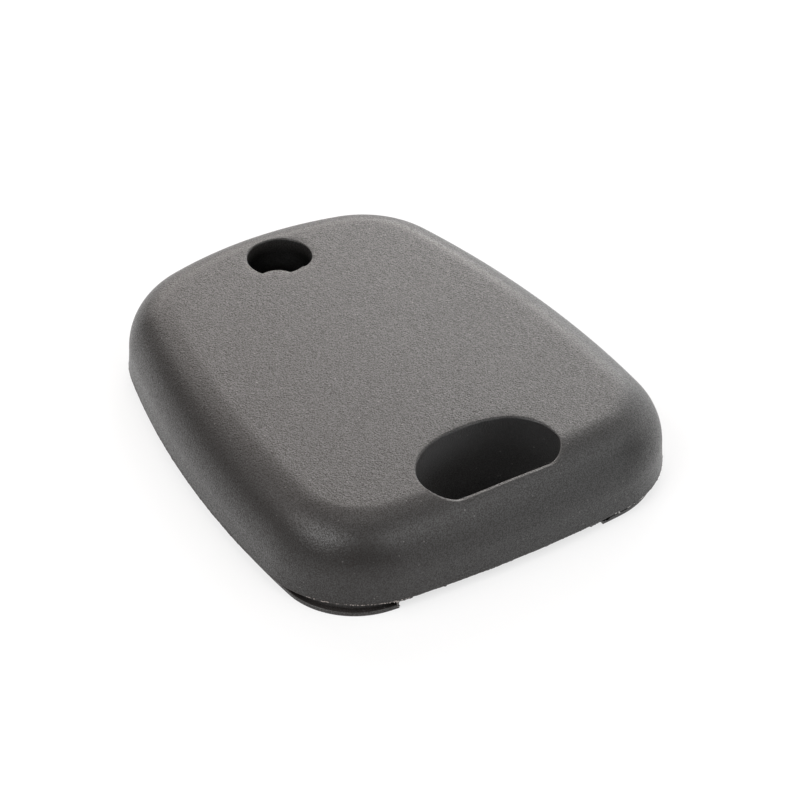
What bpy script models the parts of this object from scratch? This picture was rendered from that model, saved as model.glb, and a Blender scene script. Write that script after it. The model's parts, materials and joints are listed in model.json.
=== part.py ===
"""Remote key case: a two-button car remote in a two-part plastic case that lies on its buttons.

World frame in metres. +X runs from the blade end to the ring end, +Y across the case and +Z up
through the rear shell. The origin is on the surface that the case lies on, under its middle.
"""
import math

import bmesh
import bpy
from mathutils import Vector

# Case outline seen from above
CASE_LENGTH = 0.0500
MIDDLE_HALF_WIDTH = 0.02008
SIDE_TAPER = math.radians(5.45)
SIDE_ARC_RADIUS = 0.09867
BLADE_END_ARC_RADIUS = 0.03675
RING_END_ARC_RADIUS = 0.1225
BLADE_CORNER_RADIUS = 0.01067
RING_CORNER_RADIUS = 0.00989

# Rear shell
SEAM_HEIGHT = 0.0010
SHELL_WALL = 0.0014
SHELL_ROOF = 0.0012
WALL_DRAFT = 0.00012
EDGE_ROUND_DEPTH = 0.004775
EDGE_ROUND_HEIGHT = 0.00523

# Screw well in the rear shell, with the lug at its rim and a shallow step beside the lug
WELL_FROM_BLADE_END = 0.00763
WELL_RADIUS = 0.00312
WELL_WALL = 0.0009
WELL_FLOOR = 0.0008
LUG_RADIUS = 0.00205
LUG_ANGLE = math.radians(-33)
WELL_STEP_DEPTH = 0.00044
WELL_STEP_END_ANGLE = math.radians(34)
WELL_STEP_RUN_OUT = math.radians(30)

# Ring eye through both halves: straight beside the wall bar, arched towards the middle
EYE_BAR = 0.00295
EYE_LENGTH = 0.0077
EYE_WIDTH = 0.0139
EYE_CORNER_RADIUS = 0.0026
EYE_ARCH_POWER = 2.3
EYE_WALL = 0.0014

# Slot for the key blade in the end wall
BLADE_SLOT_WIDTH = 0.0086
BLADE_SLOT_HEIGHT = 0.0023
BLADE_SLOT_ABOVE_SEAM = 0.0024
BLADE_SLOT_ROUNDING = 0.0004

# Front cover
PLATE_THICKNESS = 0.0011
RIM_HEIGHT = 0.00042
RIM_RING_END_INSET = 0.00038
RIM_BLADE_END_INSET = 0.00075
RIM_PLUS_Y_INSET = 0.00095
RIM_MINUS_Y_INSET = 0.00060
RIM_PLUS_Y_CORNER_RADIUS = 0.0090
RIM_MINUS_Y_CORNER_RADIUS = 0.0076
GROOVE_DEPTH = 0.00045
TONGUE_THICKNESS = 0.0008
TONGUE_HEIGHT = 0.0009
BOSS_RADIUS = 0.0020
BOSS_HEIGHT = 0.00135
NOTCH_DEPTH = 0.0016
NOTCH_FROM = -0.0124
NOTCH_TO = 0.0092
POST_RADIUS = 0.0009
POST_EDGE = 0.0018

# Buttons and their rubber gasket
BUTTON_FROM_BOARD_END = 0.00385
BUTTON_WIDTH = 0.0130
BUTTON_CORNER_RADIUS = 0.0026
BUTTON_EDGE = 0.0003
BUTTON_SPACING = 0.0024
BUTTON_RECESS = 0.0002
FLANGE_OVERHANG = 0.0006
FLANGE_THICKNESS = 0.00035
PUSHER_RADIUS = 0.0015
PUSHER_HEIGHT = 0.0001
BUTTON_TRAVEL = 0.0003
GASKET_BORDER = 0.0010
GASKET_CORNER_RADIUS = 0.0030

# Push switches under the board
SWITCH_SIDE = 0.0046
SWITCH_ROOF = 0.00035
SWITCH_CAVITY_RADIUS = 0.00175
FRAME_THICKNESS = 0.0001
FRAME_SKIRT = 0.0005
STEM_RADIUS = 0.0011
STEM_MARGIN = 0.0001
COLLAR_RADIUS = 0.00145
COLLAR_THICKNESS = 0.0002
NUB_RADIUS = 0.00055
NUB_HEIGHT = 0.00017
DOME_RADIUS = 0.0016
DOME_RISE = 0.0004
DOME_SHEET = 0.00008

# Circuit board and what it carries
BOARD_THICKNESS = 0.0008
BOARD_CORNER_CUT = 0.0008
CELL_DIAMETER = 0.0160
CELL_HEIGHT = 0.0020
CELL_SHEET = 0.00025
CELL_SEAL = 0.0004
CELL_CRIMP = 0.00015
CONTACT_LENGTH = 0.0090
CONTACT_WIDTH = 0.0050
CONTACT_CORNER_RADIUS = 0.0008
METAL_SHEET = 0.00015
CLIP_WIDTH = 0.0050
CLIP_FOOT = 0.0012
CHIP_LENGTH = 0.0072
CHIP_WIDTH = 0.0053
CHIP_HEIGHT = 0.0015
CHIP_LEADS = 8
LEAD_PITCH = 0.0008
LEAD_WIDTH = 0.00035
LEAD_REACH = 0.0010
CHIP_EDGE = 0.00012
RESONATOR_LENGTH = 0.0050
RESONATOR_WIDTH = 0.0036
RESONATOR_HEIGHT = 0.0013
RESONATOR_ROUNDING = 0.0004
CRYSTAL_DIAMETER = 0.0020
CRYSTAL_LENGTH = 0.0060
CRYSTAL_ROUNDING = 0.0003
CAPSULE_DIAMETER = 0.0021
CAPSULE_LENGTH = 0.0115
PASSIVE_LENGTH = 0.0016
PASSIVE_WIDTH = 0.0008
PASSIVE_PITCH = 0.0016
PASSIVE_ROUNDING = 0.00006
RESISTOR_HEIGHT = 0.00045
CAPACITOR_HEIGHT = 0.0008
COMPONENT_MARGIN = 0.0006

# Room left on the board, shared out between its pieces: along it from the blade end, with the
# resistors, chip, resonator and capacitors, and across it from the +Y side, with the coin cell,
# the row of the chip and the capsule
ALONG_ROOM_SHARES = (6, 10, 10, 10, 59)
ACROSS_ROOM_SHARES = (35, 10, 39, 22)

# Case screw
SCREW_RADIUS = 0.0010
SCREW_HEAD_RADIUS = 0.0019
SCREW_HEAD_HEIGHT = 0.0013
SCREW_LENGTH = 0.0027
SCREW_RECESS_WIDTH = 0.0005
SCREW_RECESS_REACH = 0.0011
SCREW_RECESS_DEPTH = 0.0007

# Clearances
SEAT_GAP = 0.00005
SIDE_GAP = 0.0001
BUTTON_GAP = 0.00015
SCREW_GAP = 0.0003
PILOT_GAP = 0.00008
PILOT_END_GAP = 0.00015
HEAD_GAP = 0.0002
BOARD_GAP = 0.0003
CELL_GAP = 0.0003
ROOF_GAP = 0.00017
OVERRUN = 0.0010

# Steps that round shapes are divided into
END_STEPS = 5
CORNER_STEPS = 8
SIDE_STEPS = 8
EDGE_STEPS = 7
EYE_STEPS = 20
ROUND_STEPS = 32
SMALL_STEPS = 20
FILLET_STEPS = 5
SHARP_ANGLE = math.radians(35)

# A corner is rounded to at most this share of the shorter side
CORNER_LIMIT_SHARE = 0.45

# Heights of the stack, from the plate up to the roof
PLATE_TOP = PLATE_THICKNESS
FLANGE_BOTTOM = PLATE_TOP + SEAT_GAP
FLANGE_TOP = FLANGE_BOTTOM + FLANGE_THICKNESS
PUSHER_TOP = FLANGE_TOP + PUSHER_HEIGHT
STEM_BOTTOM = PUSHER_TOP + SEAT_GAP
FRAME_BOTTOM = STEM_BOTTOM + BUTTON_TRAVEL + STEM_MARGIN
FRAME_TOP = FRAME_BOTTOM + FRAME_THICKNESS
SWITCH_BOTTOM = FRAME_TOP + SEAT_GAP
COLLAR_TOP = SWITCH_BOTTOM + COLLAR_THICKNESS
NUB_TOP = COLLAR_TOP + NUB_HEIGHT
DOME_APEX = NUB_TOP + SEAT_GAP
DOME_TOP = DOME_APEX + DOME_SHEET + DOME_RISE
CAVITY_TOP = DOME_TOP + SEAT_GAP
SWITCH_TOP = CAVITY_TOP + SWITCH_ROOF
BOARD_BOTTOM = SWITCH_TOP + SEAT_GAP
BOARD_TOP = BOARD_BOTTOM + BOARD_THICKNESS
MOUNTED = BOARD_TOP + SEAT_GAP
CONTACT_TOP = MOUNTED + METAL_SHEET
CELL_BOTTOM = CONTACT_TOP + SEAT_GAP
CELL_TOP = CELL_BOTTOM + CELL_HEIGHT
CLIP_BOTTOM = CELL_TOP + SEAT_GAP
CLIP_TOP = CLIP_BOTTOM + METAL_SHEET
CEILING = CLIP_TOP + ROOF_GAP
CASE_TOP = CEILING + SHELL_ROOF
SHOULDER_TOP = SEAM_HEIGHT - SEAT_GAP
TONGUE_TOP = SEAM_HEIGHT + TONGUE_HEIGHT
BOSS_TOP = PLATE_TOP + BOSS_HEIGHT
WELL_BOTTOM = BOSS_TOP + SEAT_GAP
WELL_FLOOR_TOP = WELL_BOTTOM + WELL_FLOOR
HEAD_BOTTOM = WELL_FLOOR_TOP + SEAT_GAP
PILOT_FLOOR = HEAD_BOTTOM - SCREW_LENGTH - PILOT_END_GAP

# Places along the case
BLADE_END = -CASE_LENGTH / 2
RING_END = CASE_LENGTH / 2
WELL_X = BLADE_END + WELL_FROM_BLADE_END
EYE_STRAIGHT_X = RING_END - EYE_BAR
EYE_FAR_X = EYE_STRAIGHT_X - EYE_LENGTH
EYE_CORNER_X = EYE_STRAIGHT_X - EYE_CORNER_RADIUS
BOARD_FROM = WELL_X + WELL_RADIUS + WELL_WALL + BOARD_GAP
BOARD_TO = EYE_FAR_X - EYE_WALL - BOARD_GAP
BOARD_MIDDLE = (BOARD_FROM + BOARD_TO) / 2
BUTTON_LENGTH = (BOARD_TO - BOARD_FROM - BUTTON_SPACING) / 2 - BUTTON_FROM_BOARD_END
BUTTON_PITCH = BUTTON_LENGTH + BUTTON_SPACING
BUTTON_PLACES = {"lock": BOARD_MIDDLE - BUTTON_PITCH / 2, "unlock": BOARD_MIDDLE + BUTTON_PITCH / 2}
CRYSTAL_X = BOARD_TO - COMPONENT_MARGIN - CRYSTAL_LENGTH / 2


def clear_scene():
    for item in list(bpy.data.objects):
        bpy.data.objects.remove(item, do_unlink=True)


def make_collection(name):
    group = bpy.data.collections.new(name)
    bpy.context.scene.collection.children.link(group)
    return group


def make_material(name, colour, roughness, metallic=0):
    """Principled material of one colour."""
    material = bpy.data.materials.new(name)
    material.use_nodes = True
    shader = material.node_tree.nodes["Principled BSDF"]
    shader.inputs["Base Color"].default_value = (*colour, 1)
    shader.inputs["Roughness"].default_value = roughness
    shader.inputs["Metallic"].default_value = metallic
    return material


def empty(name, location=(0, 0, 0), parent=None):
    """Carrier at a joint's axis; its children keep the places they are given."""
    carrier = bpy.data.objects.new(name, None)
    carrier.location = location
    PARTS.objects.link(carrier)
    carrier.parent = parent
    return carrier


def link(made, group):
    """Puts an object in a collection; the cutters are shown as wires and left out of the part."""
    group.objects.link(made)
    if group == TOOLS:
        made.hide_render = True
        made.display_type = "WIRE"
    return made


def finish_part(part, material, carrier, location=(0, 0, 0)):
    """Gives a part its material, its carrier and its place in the carrier's frame."""
    part.data.materials.clear()
    part.data.materials.append(material)
    part.location = location
    part.parent = carrier
    return part


def new_mesh_object(name, mesh_tool, group):
    """Object from a filled bmesh, with its faces turned outwards and its round sides smooth."""
    bmesh.ops.recalc_face_normals(mesh_tool, faces=mesh_tool.faces)
    mesh = bpy.data.meshes.new(name)
    mesh_tool.to_mesh(mesh)
    mesh_tool.free()
    mesh.shade_smooth()
    mesh.set_sharp_from_angle(angle=SHARP_ANGLE)
    made = bpy.data.objects.new(name, mesh)
    return link(made, group)


def loft(name, sections, group):
    """Closed body through outlines with matching points, each at its own height."""
    tool = bmesh.new()
    rings = []
    for points, height in sections:
        rings.append([tool.verts.new((x, y, height)) for x, y in points])
    for lower, upper in zip(rings, rings[1:]):
        for index, corner in enumerate(lower):
            following = (index + 1) % len(lower)
            tool.faces.new((corner, lower[following], upper[following], upper[index]))
    tool.faces.new(rings[0])
    tool.faces.new(rings[-1])
    return new_mesh_object(name, tool, group)


def outline_sheet(name, outlines, bottom, top, group):
    """Flat piece cut from sheet: the first outline is its edge and the others are holes."""
    curve = bpy.data.curves.new(name, "CURVE")
    curve.dimensions = "2D"
    curve.fill_mode = "BOTH"
    curve.extrude = (top - bottom) / 2
    for points in outlines:
        spline = curve.splines.new("POLY")
        spline.points.add(len(points) - 1)
        for point, (x, y) in zip(spline.points, points):
            point.co = (x, y, 0, 1)
        spline.use_cyclic_u = True
    made = link(bpy.data.objects.new(name, curve), group)
    made.location.z = (top + bottom) / 2
    return made


def as_mesh(source, group):
    """Turns a curve object into a welded mesh object of the same name and place."""
    bpy.context.view_layer.update()
    evaluated = source.evaluated_get(bpy.context.evaluated_depsgraph_get())
    mesh = bpy.data.meshes.new_from_object(evaluated)
    mesh.transform(source.matrix_world)
    name = source.name
    bpy.data.objects.remove(source, do_unlink=True)
    tool = bmesh.new()
    tool.from_mesh(mesh)
    bmesh.ops.remove_doubles(tool, verts=tool.verts, dist=SEAT_GAP / 10)
    return new_mesh_object(name, tool, group)


def solid_outline(name, outlines, bottom, top, group):
    return as_mesh(outline_sheet(name, outlines, bottom, top, group), group)


def turned(name, profile, group, steps=ROUND_STEPS, closed=False):
    """Body of revolution about Z from (radius, height) points that run down the outer side."""
    mesh = bpy.data.meshes.new(name)
    edges = [(index, index + 1) for index in range(len(profile) - 1)]
    if closed:
        edges.append((len(profile) - 1, 0))
    mesh.from_pydata([(radius, 0, height) for radius, height in profile], edges, [])
    made = link(bpy.data.objects.new(name, mesh), group)
    screw = made.modifiers.new("Turn", "SCREW")
    screw.steps = steps
    screw.render_steps = steps
    screw.use_merge_vertices = True
    screw.merge_threshold = SEAT_GAP / 100
    screw.use_smooth_shade = True
    return made


def cylinder(name, radius, bottom, top, group, place=(0, 0), steps=ROUND_STEPS):
    tool = bmesh.new()
    bmesh.ops.create_cone(
        tool, cap_ends=True, segments=steps, radius1=radius, radius2=radius, depth=top - bottom
    )
    bmesh.ops.translate(tool, vec=(*place, (top + bottom) / 2), verts=tool.verts)
    return new_mesh_object(name, tool, group)


def box(name, low, high, group, rounding=0):
    """Box between two corners, with its edges rounded if a radius is given."""
    tool = bmesh.new()
    bmesh.ops.create_cube(tool, size=1)
    bmesh.ops.scale(tool, vec=Vector(high) - Vector(low), verts=tool.verts)
    bmesh.ops.translate(tool, vec=(Vector(high) + Vector(low)) / 2, verts=tool.verts)
    made = new_mesh_object(name, tool, group)
    if rounding:
        bevel = made.modifiers.new("Round edges", "BEVEL")
        bevel.width = rounding
        bevel.segments = 2
        bevel.limit_method = "ANGLE"
    return made


def join_in(target, piece):
    """Unites a piece of the same moulding with its target."""
    modifier = target.modifiers.new("Join " + piece.name, "BOOLEAN")
    modifier.operation = "UNION"
    modifier.solver = "EXACT"
    modifier.object = piece


def cut(target, cutter):
    modifier = target.modifiers.new("Cut " + cutter.name, "BOOLEAN")
    modifier.operation = "DIFFERENCE"
    modifier.solver = "EXACT"
    modifier.object = cutter


def arc(centre, radius, start, end, steps):
    """Points along an arc, without its last one."""
    points = []
    for step in range(steps):
        angle = start + (end - start) * step / steps
        points.append((centre.x + radius * math.cos(angle), centre.y + radius * math.sin(angle)))
    return points


def direction(start, end):
    return math.atan2(end.y - start.y, end.x - start.x)


def rounding_centre(first, first_radius, second, second_radius, radius, side):
    """Centre of the corner circle that touches two larger circles from inside, on one side in X."""
    across = (second - first).length
    first_reach = first_radius - radius
    second_reach = second_radius - radius
    along = (across**2 + first_reach**2 - second_reach**2) / (2 * across)
    off = math.sqrt(first_reach**2 - along**2)
    forward = (second - first).normalized()
    sideways = Vector((-forward.y, forward.x))
    options = (first + forward * along + sideways * off, first + forward * along - sideways * off)
    return max(options, key=lambda centre: centre.x * side)


def half_outline(ring_end_inset, side_inset, blade_end_inset, ring_corner_radius):
    """Half of an outline inside the case's, on the +Y side, from the ring end to the blade end."""
    ring = Vector((RING_END - RING_END_ARC_RADIUS, 0))
    blade = Vector((BLADE_END + BLADE_END_ARC_RADIUS, 0))
    outward = Vector((-math.sin(SIDE_TAPER), math.cos(SIDE_TAPER)))
    side = Vector((0, MIDDLE_HALF_WIDTH)) - SIDE_ARC_RADIUS * outward
    ring_radius = RING_END_ARC_RADIUS - ring_end_inset
    side_radius = SIDE_ARC_RADIUS - side_inset
    blade_radius = BLADE_END_ARC_RADIUS - blade_end_inset
    corner_radius = BLADE_CORNER_RADIUS - blade_end_inset
    ring_corner = rounding_centre(ring, ring_radius, side, side_radius, ring_corner_radius, 1)
    blade_corner = rounding_centre(blade, blade_radius, side, side_radius, corner_radius, -1)
    ring_turn = direction(ring, ring_corner)
    ring_side_turn = direction(side, ring_corner)
    blade_side_turn = direction(side, blade_corner)
    blade_turn = direction(blade, blade_corner)
    half = arc(ring, ring_radius, 0, ring_turn, END_STEPS)
    half += arc(ring_corner, ring_corner_radius, ring_turn, ring_side_turn, CORNER_STEPS)
    half += arc(side, side_radius, ring_side_turn, blade_side_turn, SIDE_STEPS)
    half += arc(blade_corner, corner_radius, blade_side_turn, blade_turn, CORNER_STEPS)
    half += arc(blade, blade_radius, blade_turn, math.pi, END_STEPS)
    return half + [(BLADE_END + blade_end_inset, 0)]


def whole_outline(plus_y, minus_y):
    """Outline from two half outlines, counter-clockwise from the ring end's middle."""
    return plus_y + [(x, -y) for x, y in reversed(minus_y[1:-1])]


def case_outline(inset):
    """Outline of the case, moved in by an inset all round."""
    half = half_outline(inset, inset, inset, RING_CORNER_RADIUS - inset)
    return whole_outline(half, half)


def rim_outline(inset=0):
    """Outline of the front cover's rim, which shows below the shell at the ring-end corners."""
    halves = []
    for side_inset, corner_radius in (
        (RIM_PLUS_Y_INSET, RIM_PLUS_Y_CORNER_RADIUS), (RIM_MINUS_Y_INSET, RIM_MINUS_Y_CORNER_RADIUS)
    ):
        halves.append(half_outline(
            RIM_RING_END_INSET + inset, side_inset + inset, RIM_BLADE_END_INSET + inset,
            corner_radius - inset,
        ))
    return whole_outline(*halves)


def half_width_at(x, inset):
    """Half width of the moved-in outline at one place along the case."""
    side = [point for point in case_outline(inset) if point[1] >= 0]
    for (near_x, near_y), (far_x, far_y) in zip(side, side[1:]):
        if far_x <= x <= near_x:
            return near_y + (far_y - near_y) * (near_x - x) / (near_x - far_x)
    return 0


def inner_inset_at(height):
    """How far the shell's inner surface lies inside the outline at one height."""
    start = CASE_TOP - EDGE_ROUND_HEIGHT
    if height <= start:
        return SHELL_WALL
    climb = min(1, (height - start) / (EDGE_ROUND_HEIGHT - SHELL_ROOF))
    reach = EDGE_ROUND_DEPTH + WALL_DRAFT - SHELL_WALL
    return SHELL_WALL + reach * (1 - math.sqrt(1 - climb**2))


def rounded_rectangle(length, width, radius, centre=(0, 0)):
    """Outline of a rectangle with rounded corners, counter-clockwise."""
    radius = min(radius, CORNER_LIMIT_SHARE * min(length, width))
    points = []
    for quarter, (side_x, side_y) in enumerate(((1, 1), (-1, 1), (-1, -1), (1, -1))):
        corner = Vector((
            centre[0] + side_x * (length / 2 - radius),
            centre[1] + side_y * (width / 2 - radius),
        ))
        start = quarter * math.pi / 2
        points += arc(corner, radius, start, start + math.pi / 2, FILLET_STEPS)
        end = start + math.pi / 2
        points.append((corner.x + radius * math.cos(end), corner.y + radius * math.sin(end)))
    return points


def arch_point(turn, outset):
    """Point of the eye's arch at one turn from its crown, moved out along its normal."""
    depth = EYE_CORNER_X - EYE_FAR_X
    half = EYE_WIDTH / 2
    along = math.cos(turn) ** (2 / EYE_ARCH_POWER)
    across = abs(math.sin(turn)) ** (2 / EYE_ARCH_POWER)
    out = Vector((
        along ** (EYE_ARCH_POWER - 1) / depth, across ** (EYE_ARCH_POWER - 1) / half
    )).normalized() * outset
    side = math.copysign(1, turn)
    return (EYE_CORNER_X - depth * along - out.x, side * (half * across + out.y))


def eye_outline(outset=0):
    """Outline of the ring eye, moved out by a wall or a clearance."""
    corner_y = EYE_WIDTH / 2 - EYE_CORNER_RADIUS
    quarter = math.pi / 2
    lower = Vector((EYE_CORNER_X, -corner_y))
    upper = Vector((EYE_CORNER_X, corner_y))
    points = arc(lower, EYE_CORNER_RADIUS + outset, -quarter, 0, FILLET_STEPS)
    points.append((EYE_STRAIGHT_X + outset, -corner_y))
    points += arc(upper, EYE_CORNER_RADIUS + outset, 0, quarter, FILLET_STEPS)
    points.append((EYE_CORNER_X, EYE_WIDTH / 2 + outset))
    steps = EYE_STEPS // 2
    turns = [quarter * (1 - step / steps) for step in range(1, 2 * steps)]
    return points + [arch_point(turn, outset) for turn in turns]


def dome_sections(bottom, wall, roof):
    """Sections of the domed half: an upright wall, then a quarter ellipse in to the flat top."""
    start = CASE_TOP - EDGE_ROUND_HEIGHT
    draft = WALL_DRAFT if wall == 0 else 0
    flat_inset = EDGE_ROUND_DEPTH + WALL_DRAFT
    sections = [(case_outline(wall), bottom)]
    for step in range(EDGE_STEPS + 1):
        turn = math.pi / 2 * step / EDGE_STEPS
        inset = flat_inset - (flat_inset - draft - wall) * math.cos(turn)
        height = start + (EDGE_ROUND_HEIGHT - roof) * math.sin(turn)
        sections.append((case_outline(inset), height))
    return sections


def board_posts():
    """Places of the posts that hold the board near its four corners."""
    places = []
    for x in (BOARD_FROM + POST_EDGE, BOARD_TO - POST_EDGE):
        y = board_half_width(x) - POST_EDGE
        places += [(x, y), (x, -y)]
    return places


def well_step_outline():
    """Outline of the shallow step at the well's rim, from behind the lug to its run-out."""
    centre = Vector((WELL_X, 0))
    end = WELL_STEP_END_ANGLE
    outside = arc(centre, WELL_RADIUS + OVERRUN, LUG_ANGLE, end + WELL_STEP_RUN_OUT, CORNER_STEPS)
    return outside + arc(centre, WELL_RADIUS - WELL_STEP_DEPTH, end, LUG_ANGLE, CORNER_STEPS)


def make_well_bore():
    """Cutter for the screw well, without the lug and the step that stand into its rim."""
    bore = cylinder("well_bore", WELL_RADIUS, WELL_FLOOR_TOP, CASE_TOP + OVERRUN, TOOLS, (WELL_X, 0))
    away = SCREW_HEAD_RADIUS + HEAD_GAP + LUG_RADIUS
    lug = cylinder(
        "well_lug", LUG_RADIUS, WELL_BOTTOM, CASE_TOP + OVERRUN + OVERRUN, TOOLS,
        (WELL_X + away * math.cos(LUG_ANGLE), away * math.sin(LUG_ANGLE)),
    )
    cut(bore, lug)
    step = solid_outline(
        "well_step", [well_step_outline()], WELL_BOTTOM, CASE_TOP + OVERRUN + OVERRUN, TOOLS
    )
    cut(bore, step)
    return bore


def make_shell_hollow():
    """Cutter for the inside of the rear shell, round the well, the eye's tube and the posts."""
    sections = dome_sections(SEAM_HEIGHT, SHELL_WALL, SHELL_ROOF)
    sections.insert(0, (case_outline(SHELL_WALL), SEAM_HEIGHT - OVERRUN))
    hollow = loft("shell_hollow", sections, TOOLS)
    well = cylinder(
        "well_tube", WELL_RADIUS + WELL_WALL, WELL_BOTTOM, CASE_TOP, TOOLS, (WELL_X, 0)
    )
    cut(hollow, well)
    tube_bottom = PLATE_TOP + SEAT_GAP
    cut(hollow, solid_outline("eye_tube", [eye_outline(EYE_WALL)], tube_bottom, CASE_TOP, TOOLS))
    for number, place in enumerate(board_posts()):
        post = cylinder(
            f"shell_post_{number}", POST_RADIUS, MOUNTED, CASE_TOP, TOOLS, place, SMALL_STEPS
        )
        cut(hollow, post)
    return hollow


def make_rear_shell(material, carrier):
    shell = loft("rear_shell", dome_sections(SEAM_HEIGHT, 0, 0), PARTS)
    cut(shell, make_shell_hollow())
    cut(shell, make_well_bore())
    cut(shell, cylinder(
        "shell_screw_hole", SCREW_RADIUS + SCREW_GAP, WELL_BOTTOM - OVERRUN,
        WELL_FLOOR_TOP + OVERRUN, TOOLS, (WELL_X, 0), SMALL_STEPS,
    ))
    cut(shell, solid_outline(
        "shell_eye", [eye_outline()], SEAM_HEIGHT - OVERRUN, CASE_TOP + OVERRUN, TOOLS
    ))
    slot_bottom = SEAM_HEIGHT + BLADE_SLOT_ABOVE_SEAM
    slot_top = slot_bottom + BLADE_SLOT_HEIGHT
    slot = box(
        "blade_slot",
        (BLADE_END - OVERRUN, -BLADE_SLOT_WIDTH / 2, slot_bottom),
        (BLADE_END + inner_inset_at(slot_top) + BOARD_GAP, BLADE_SLOT_WIDTH / 2, slot_top),
        TOOLS, BLADE_SLOT_ROUNDING,
    )
    cut(shell, slot)
    return finish_part(shell, material, carrier)


def make_front_cover(material, carrier):
    """Front cover: rim, groove under the shell's wall, tongue inside it, boss and posts."""
    tongue_outset = SHELL_WALL + SIDE_GAP
    tongue_inset = tongue_outset + TONGUE_THICKNESS
    cover = loft("front_cover", [
        (rim_outline(), 0),
        (rim_outline(), RIM_HEIGHT),
        (rim_outline(GROOVE_DEPTH), RIM_HEIGHT),
        (rim_outline(GROOVE_DEPTH), SHOULDER_TOP),
        (case_outline(tongue_outset), SHOULDER_TOP),
        (case_outline(tongue_outset), TONGUE_TOP),
        (case_outline(tongue_inset), TONGUE_TOP),
        (case_outline(tongue_inset), PLATE_TOP),
    ], PARTS)
    sunk = PLATE_TOP - PLATE_THICKNESS / 2
    join_in(cover, cylinder("cover_boss", BOSS_RADIUS, sunk, BOSS_TOP, TOOLS, (WELL_X, 0)))
    for number, place in enumerate(board_posts()):
        post_top = BOARD_BOTTOM - SEAT_GAP
        post = cylinder(
            f"cover_post_{number}", POST_RADIUS, sunk, post_top, TOOLS, place, SMALL_STEPS
        )
        join_in(cover, post)
    cut(cover, cylinder(
        "cover_pilot", SCREW_RADIUS + PILOT_GAP, PILOT_FLOOR, BOSS_TOP + OVERRUN, TOOLS,
        (WELL_X, 0), SMALL_STEPS,
    ))
    cut(cover, solid_outline(
        "tube_seat", [eye_outline(EYE_WALL + SIDE_GAP)], PLATE_TOP - SEAT_GAP,
        TONGUE_TOP + OVERRUN, TOOLS,
    ))
    cut(cover, solid_outline("cover_eye", [eye_outline()], -OVERRUN, TONGUE_TOP + OVERRUN, TOOLS))
    cut(cover, box(
        "pry_notch",
        (RING_END - NOTCH_DEPTH, NOTCH_FROM, -OVERRUN),
        (RING_END + OVERRUN, NOTCH_TO, TONGUE_TOP + OVERRUN),
        TOOLS,
    ))
    for name, x in BUTTON_PLACES.items():
        window = rounded_rectangle(
            BUTTON_LENGTH + 2 * BUTTON_GAP, BUTTON_WIDTH + 2 * BUTTON_GAP,
            BUTTON_CORNER_RADIUS + BUTTON_GAP, (x, 0),
        )
        cut(cover, solid_outline(name + "_window", [window], -OVERRUN, PLATE_TOP + OVERRUN, TOOLS))
    return finish_part(cover, material, carrier)


def button_section(outset):
    return rounded_rectangle(
        BUTTON_LENGTH + 2 * outset, BUTTON_WIDTH + 2 * outset, BUTTON_CORNER_RADIUS + outset
    )


def make_button(name, material, carrier):
    """Button cap with a flange behind its window and a pusher for the switch."""
    origin = STEM_BOTTOM
    button = loft(name + "_button", [
        (button_section(-BUTTON_EDGE), BUTTON_RECESS - origin),
        (button_section(0), BUTTON_RECESS + BUTTON_EDGE - origin),
        (button_section(0), FLANGE_BOTTOM - origin),
        (button_section(FLANGE_OVERHANG), FLANGE_BOTTOM - origin),
        (button_section(FLANGE_OVERHANG), FLANGE_TOP - origin),
    ], PARTS)
    pusher = cylinder(
        name + "_pusher", PUSHER_RADIUS, BUTTON_RECESS + BUTTON_EDGE - origin, PUSHER_TOP - origin,
        TOOLS, steps=SMALL_STEPS,
    )
    pusher.parent = carrier
    join_in(button, pusher)
    return finish_part(button, material, carrier)


def make_gasket(material, carrier):
    """Rubber sheet round both button flanges."""
    window_length = BUTTON_LENGTH + 2 * (FLANGE_OVERHANG + BUTTON_GAP)
    window_width = BUTTON_WIDTH + 2 * (FLANGE_OVERHANG + BUTTON_GAP)
    radius = BUTTON_CORNER_RADIUS + FLANGE_OVERHANG + BUTTON_GAP
    length = BUTTON_PITCH + window_length + 2 * GASKET_BORDER
    width = window_width + 2 * GASKET_BORDER
    outlines = [rounded_rectangle(length, width, GASKET_CORNER_RADIUS, (BOARD_MIDDLE, 0))]
    for x in BUTTON_PLACES.values():
        outlines.append(rounded_rectangle(window_length, window_width, radius, (x, 0)))
    gasket = solid_outline("button_gasket", outlines, FLANGE_BOTTOM, FLANGE_TOP, PARTS)
    return finish_part(gasket, material, carrier)


def make_board(material, carrier):
    """Circuit board whose sides follow the case, with its corners cut off."""
    upper = []
    for step in range(SIDE_STEPS + 1):
        x = BOARD_TO + (BOARD_FROM - BOARD_TO) * step / SIDE_STEPS
        upper.append((x, board_half_width(x)))
    upper[0] = (BOARD_TO - BOARD_CORNER_CUT, upper[0][1])
    upper.insert(0, (BOARD_TO, upper[0][1] - BOARD_CORNER_CUT))
    upper[-1] = (BOARD_FROM + BOARD_CORNER_CUT, upper[-1][1])
    upper.append((BOARD_FROM, upper[-1][1] - BOARD_CORNER_CUT))
    outline = upper + [(x, -y) for x, y in reversed(upper)]
    board = solid_outline("circuit_board", [outline], BOARD_BOTTOM, BOARD_TOP, PARTS)
    return finish_part(board, material, carrier)


def make_switch_base(name, material, carrier):
    """Switch body with a round cavity that opens downwards."""
    half = SWITCH_SIDE / 2
    base = box(
        name + "_switch_base", (-half, -half, SWITCH_BOTTOM), (half, half, SWITCH_TOP), PARTS
    )
    cavity = cylinder(
        name + "_switch_cavity", SWITCH_CAVITY_RADIUS, SWITCH_BOTTOM - OVERRUN, CAVITY_TOP, TOOLS
    )
    cavity.parent = carrier
    cut(base, cavity)
    return finish_part(base, material, carrier)


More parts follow.
